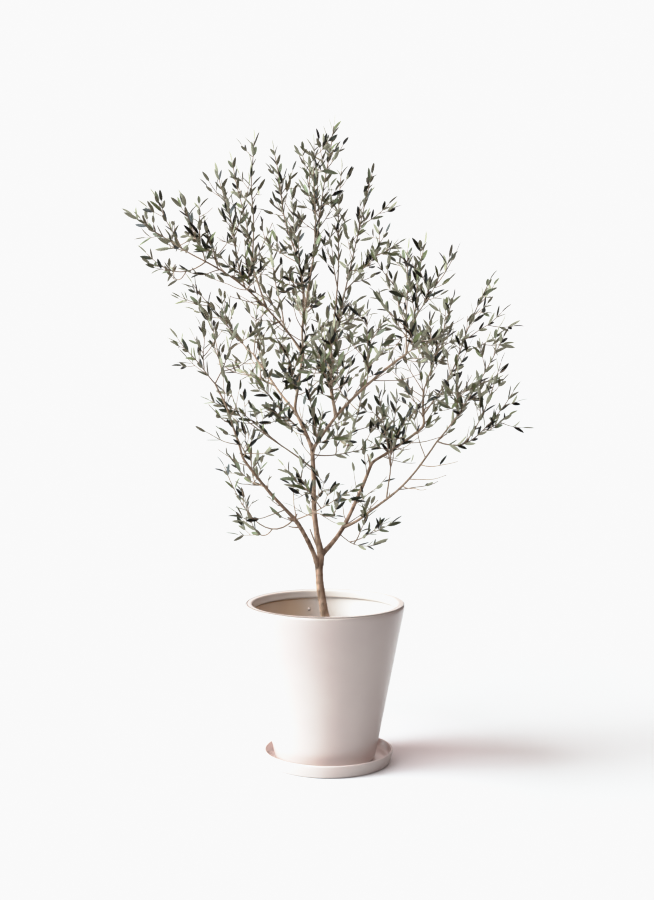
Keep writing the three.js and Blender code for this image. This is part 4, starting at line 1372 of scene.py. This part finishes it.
# %% Deal out the leaves
LEAF_STEP = 18.0
LEAD_CLOSER = 0.9
LEAF_LIFT = 0.16
for spray in sprays:
    dice = Dice(90001 + 389 * spray["index"])
    spray["leaves"] = []
    for line, bare, lead in spray["twigs"]:
        wider = LEAD_CLOSER if lead else spray["step"] ** 0.5
        pairs = max(1, int(round(line.length * (1 - bare) / (LEAF_STEP * wider))))
        first = 180 * dice.roll()
        for j in range(pairs):
            share = bare + (1 - bare) * (j + 0.4) / pairs
            heading = line.heading(share)
            side, over = across(heading)
            for half in (0, 180):
                angle = math.radians(20 + 28 * dice.roll())
                size = LEAF_LONG * (0.62 + 0.72 * dice.roll())
                turn = math.radians(first + 90 * j + half)
                out = side * math.cos(turn) + over * math.sin(turn)
                way = leaning(heading, angle, out, LEAF_LIFT)
                upper = unit(heading - way * float(heading @ way))
                try_leaf(spray, line.point(share), way, upper, size)
        heading = line.heading(1)
        side, over = across(heading)
        size = LEAF_LONG * (0.85 + 0.25 * dice.roll())
        try_leaf(spray, line.point(1) - heading * 0.8, heading, over, size)
print("leaves:", sum(len(s["leaves"]) for s in sprays))

# %% [markdown]
# Leaf shape
#
# An olive leaf is a slim blade, widest below its middle, with a short stalk and
# a fine point. It folds a little along its rib and curls towards the tip. A blade
# here has twelve faces above and twelve below that share one rim, and all blades
# of a tone are worked out at once as one array.

# %% Faces of one blade
STATIONS = np.array([0.0, 0.09, 0.24, 0.43, 0.63, 0.83, 1.0])
WIDTHS = np.array([0.0, 0.22, 0.84, 1.0, 0.93, 0.62, 0.0])
rows = len(STATIONS) - 2
BLADE_POINTS = 2 + 4 * rows


def blade_faces():
    """Quads along both halves of both faces, with triangles at base and tip, all
    wound so that they face outwards. The corners are base, tip, then the left rim,
    the right rim, the rib above and the rib below."""
    left, right, above, below = 2 + np.arange(4 * rows).reshape(4, rows)
    upper = np.vstack([
        np.stack([left[:-1], above[:-1], above[1:], left[1:]], 1),
        np.stack([above[:-1], right[:-1], right[1:], above[1:]], 1),
    ])
    under = np.vstack([
        np.stack([left[1:], below[1:], below[:-1], left[:-1]], 1),
        np.stack([below[1:], right[1:], right[:-1], below[:-1]], 1),
    ])
    upper_ends = np.array([(0, above[0], left[0]), (0, right[0], above[0]),
                           (1, left[-1], above[-1]), (1, above[-1], right[-1])])
    under_ends = np.array([(0, left[0], below[0]), (0, below[0], right[0]),
                           (1, below[-1], left[-1]), (1, right[-1], below[-1])])
    return (upper, under), (upper_ends, under_ends)


BLADE_QUADS, BLADE_ENDS = blade_faces()
print("one blade has", BLADE_POINTS, "points")


# %% Points of many blades
TWIST = 0.35
RIB_ABOVE = 0.22
RIB_BELOW = -0.26
WIDTH_SHARES = (0.84, 1.12)
CURL = (-0.05, 0.09)
BEND = 0.04
FOLD = (0.1, 0.42)


def blades(leaves, seed):
    """Points of many blades: along the way by the station, sideways by the width,
    up by a fold that grows with the distance from the rib and by a curl that grows
    with the square of the station. Each blade is also turned a little on its way."""
    base, way, upper = (np.array([leaf[i] for leaf in leaves]) for i in range(3))
    size = np.array([leaf[3] for leaf in leaves])[:, None]
    dice = np.random.default_rng(seed)
    count = len(leaves)
    twist = dice.normal(0, TWIST, (count, 1))
    flat = unit(np.cross(way, upper))
    raised = np.cross(flat, way)
    side = flat * np.cos(twist) + raised * np.sin(twist)
    face = raised * np.cos(twist) - flat * np.sin(twist)
    u = np.concatenate([[0, 1], np.tile(STATIONS[1:-1], 4)])[None]
    w = np.concatenate([[0, 0], -WIDTHS[1:-1], WIDTHS[1:-1], np.zeros(2 * rows)])[None]
    thick = np.concatenate([np.zeros(2 + 2 * rows), np.repeat([RIB_ABOVE, RIB_BELOW], rows)])[None]
    wide = LEAF_WIDE * dice.uniform(*WIDTH_SHARES, (count, 1)) * (size / LEAF_LONG) ** 0.5
    curl = dice.normal(*CURL, (count, 1)) * size
    bend = dice.normal(0, BEND, (count, 1)) * size
    fold = dice.uniform(*FOLD, (count, 1))
    up = np.abs(w) * wide * 0.5 * fold + thick + curl * u ** 2
    sideways = w * wide * 0.5 + bend * u ** 2
    points = base[:, None] + way[:, None] * (size * u)[..., None]
    points = points + side[:, None] * sideways[..., None] + face[:, None] * up[..., None]
    return points.reshape(-1, 3)


def leaf_piece(name, groups, finishes, replaces, seed):
    """One joined mesh of many blades. groups is one list of leaves for each tone,
    and finishes holds the upper and under finish of each tone in turn."""
    parts, quad_looks, end_looks = [], [], []
    for tone, leaves in enumerate(groups):
        step = (np.arange(len(leaves)) * BLADE_POINTS)[:, None, None]
        quads = [(faces + step).reshape(-1, 4) for faces in BLADE_QUADS]
        ends = [(faces + step).reshape(-1, 3) for faces in BLADE_ENDS]
        parts.append((blades(leaves, seed + tone), np.vstack(quads), np.vstack(ends)))
        for face in (0, 1):
            quad_looks.append(np.full(len(quads[face]), 2 * tone + face))
            end_looks.append(np.full(len(ends[face]), 2 * tone + face))
    points, faces = joined(parts)
    looks = np.concatenate(quad_looks + end_looks)
    mesh = make_piece(name, points, faces, finishes, looks, replaces).data
    pairs = np.zeros(2 * len(mesh.edges), np.int32)
    mesh.edges.foreach_get("vertices", pairs)
    rim = (pairs.reshape(-1, 2) % BLADE_POINTS < 2 + 2 * rows).all(1)
    mesh.attributes.new("sharp_edge", "BOOLEAN", "EDGE").data.foreach_set("value", rim)


print("the widest station is", STATIONS[WIDTHS.argmax()], "of the way up the blade")

# %% [markdown]
# Leaf colours
#
# The upper face of an olive leaf is a dark, waxy grey-green that shines where the
# sky strikes it, and the under face is felted with pale hairs. Old leaves are
# nearly black and new ones are fresh and pale, so there are four tones above and
# one colour below, and every tone drifts a little from leaf to leaf.

# %% Leaf finishes
TONES = [
    ("deep", "0f0f09", "1a1a10"), ("dark", "222215", "323421"),
    ("mid", "62654f", "7a7e63"), ("fresh", "71764f", "888d65"),
]
UNDER_TONE = ("99957f", "b1ac95")
WAXY = {"Roughness": 0.42, "Specular IOR Level": 0.35}
FELTED = {"Roughness": 0.7}
FINISHES = []
for tone, first, second in TONES:
    name = "leaf_" + tone
    FINISHES.append(new_finish(name, first, second, WAXY, drift=32, relief=900, depth=0.08))
    FINISHES.append(new_finish(name + "_under", *UNDER_TONE, FELTED, drift=32, relief=1400, depth=0.06))
TWIG = new_finish("twig_bark", "b39a86", "9a806c", {"Roughness": 0.75}, drift=70, relief=600, depth=0.15)
print("leaf finishes:", len(FINISHES))

# %% [markdown]
# The crown
#
# The crown is made in three regions, so that no piece grows too heavy. Each
# region has one piece of leaves and one of twigs. Old and new leaves stand side
# by side, so each leaf's tone is dealt for itself.


# %% Leaves and twigs of each region
REGION_ENDS = (-90, 70)
OWN_ROLL = 0.7
SPRAY_ROLL = 0.3
TONES_PER_ROLL = 5
SHOOT_TUBES = {"count": 25, "sides": 8, "thick": (1.35, 0.6), "usual": 160}
TWIG_TUBES = {"count": 9, "sides": 6, "thick": (0.9, 0.5), "usual": 60}


def region_of(spray):
    """The number of the region in which the spray's leading shoot ends."""
    return int(np.searchsorted(REGION_ENDS, spray["leads"][0].knots[-1, 0], side="right"))


def dealt_tones(members):
    """The leaves of the sprays, one list for each tone. A leaf's own roll picks its
    tone, with a trace of its spray's first roll, which is always small. The last
    tone comes about half as often as the others."""
    groups = [[] for _ in TONES]
    for spray in members:
        dice = Dice(333 + 97 * spray["index"])
        first = dice.roll()
        for leaf in spray["leaves"]:
            pick = SPRAY_ROLL * first + OWN_ROLL * dice.roll()
            groups[int(pick * TONES_PER_ROLL)].append(leaf)
    print("leaves of each tone:", [len(group) for group in groups])
    return groups


def twig_tubes(chosen, count, sides, thick, usual):
    """Tubes round the lines, whose radius falls from foot to tip and grows a little
    with the length of the line compared to the usual one."""
    at = np.linspace(0, 1, count)
    path = np.array([[line.point(t) for t in at] for line in chosen])
    length = np.array([line.length for line in chosen])[:, None]
    radius = thick[0] + (thick[1] - thick[0]) * at[None] ** 0.8
    return tubes(path, radius * np.clip((length / usual) ** 0.35, 0.75, 1.2), sides)


for order, region in enumerate(("left", "middle", "right")):
    members = [s for s in sprays if region_of(s) == order]
    names = [s["name"] for s in members]
    leaf_piece("leaves_" + region, dealt_tones(members), FINISHES, names, 700 + 10 * order)
    shoots = [line for s in members for line, _, lead in s["twigs"] if lead]
    twigs = [line for s in members for line, _, lead in s["twigs"] if not lead]
    points, faces = joined([twig_tubes(shoots, **SHOOT_TUBES), twig_tubes(twigs, **TWIG_TUBES)])
    make_piece("twigs_" + region, points, faces, [TWIG], replaces=names)
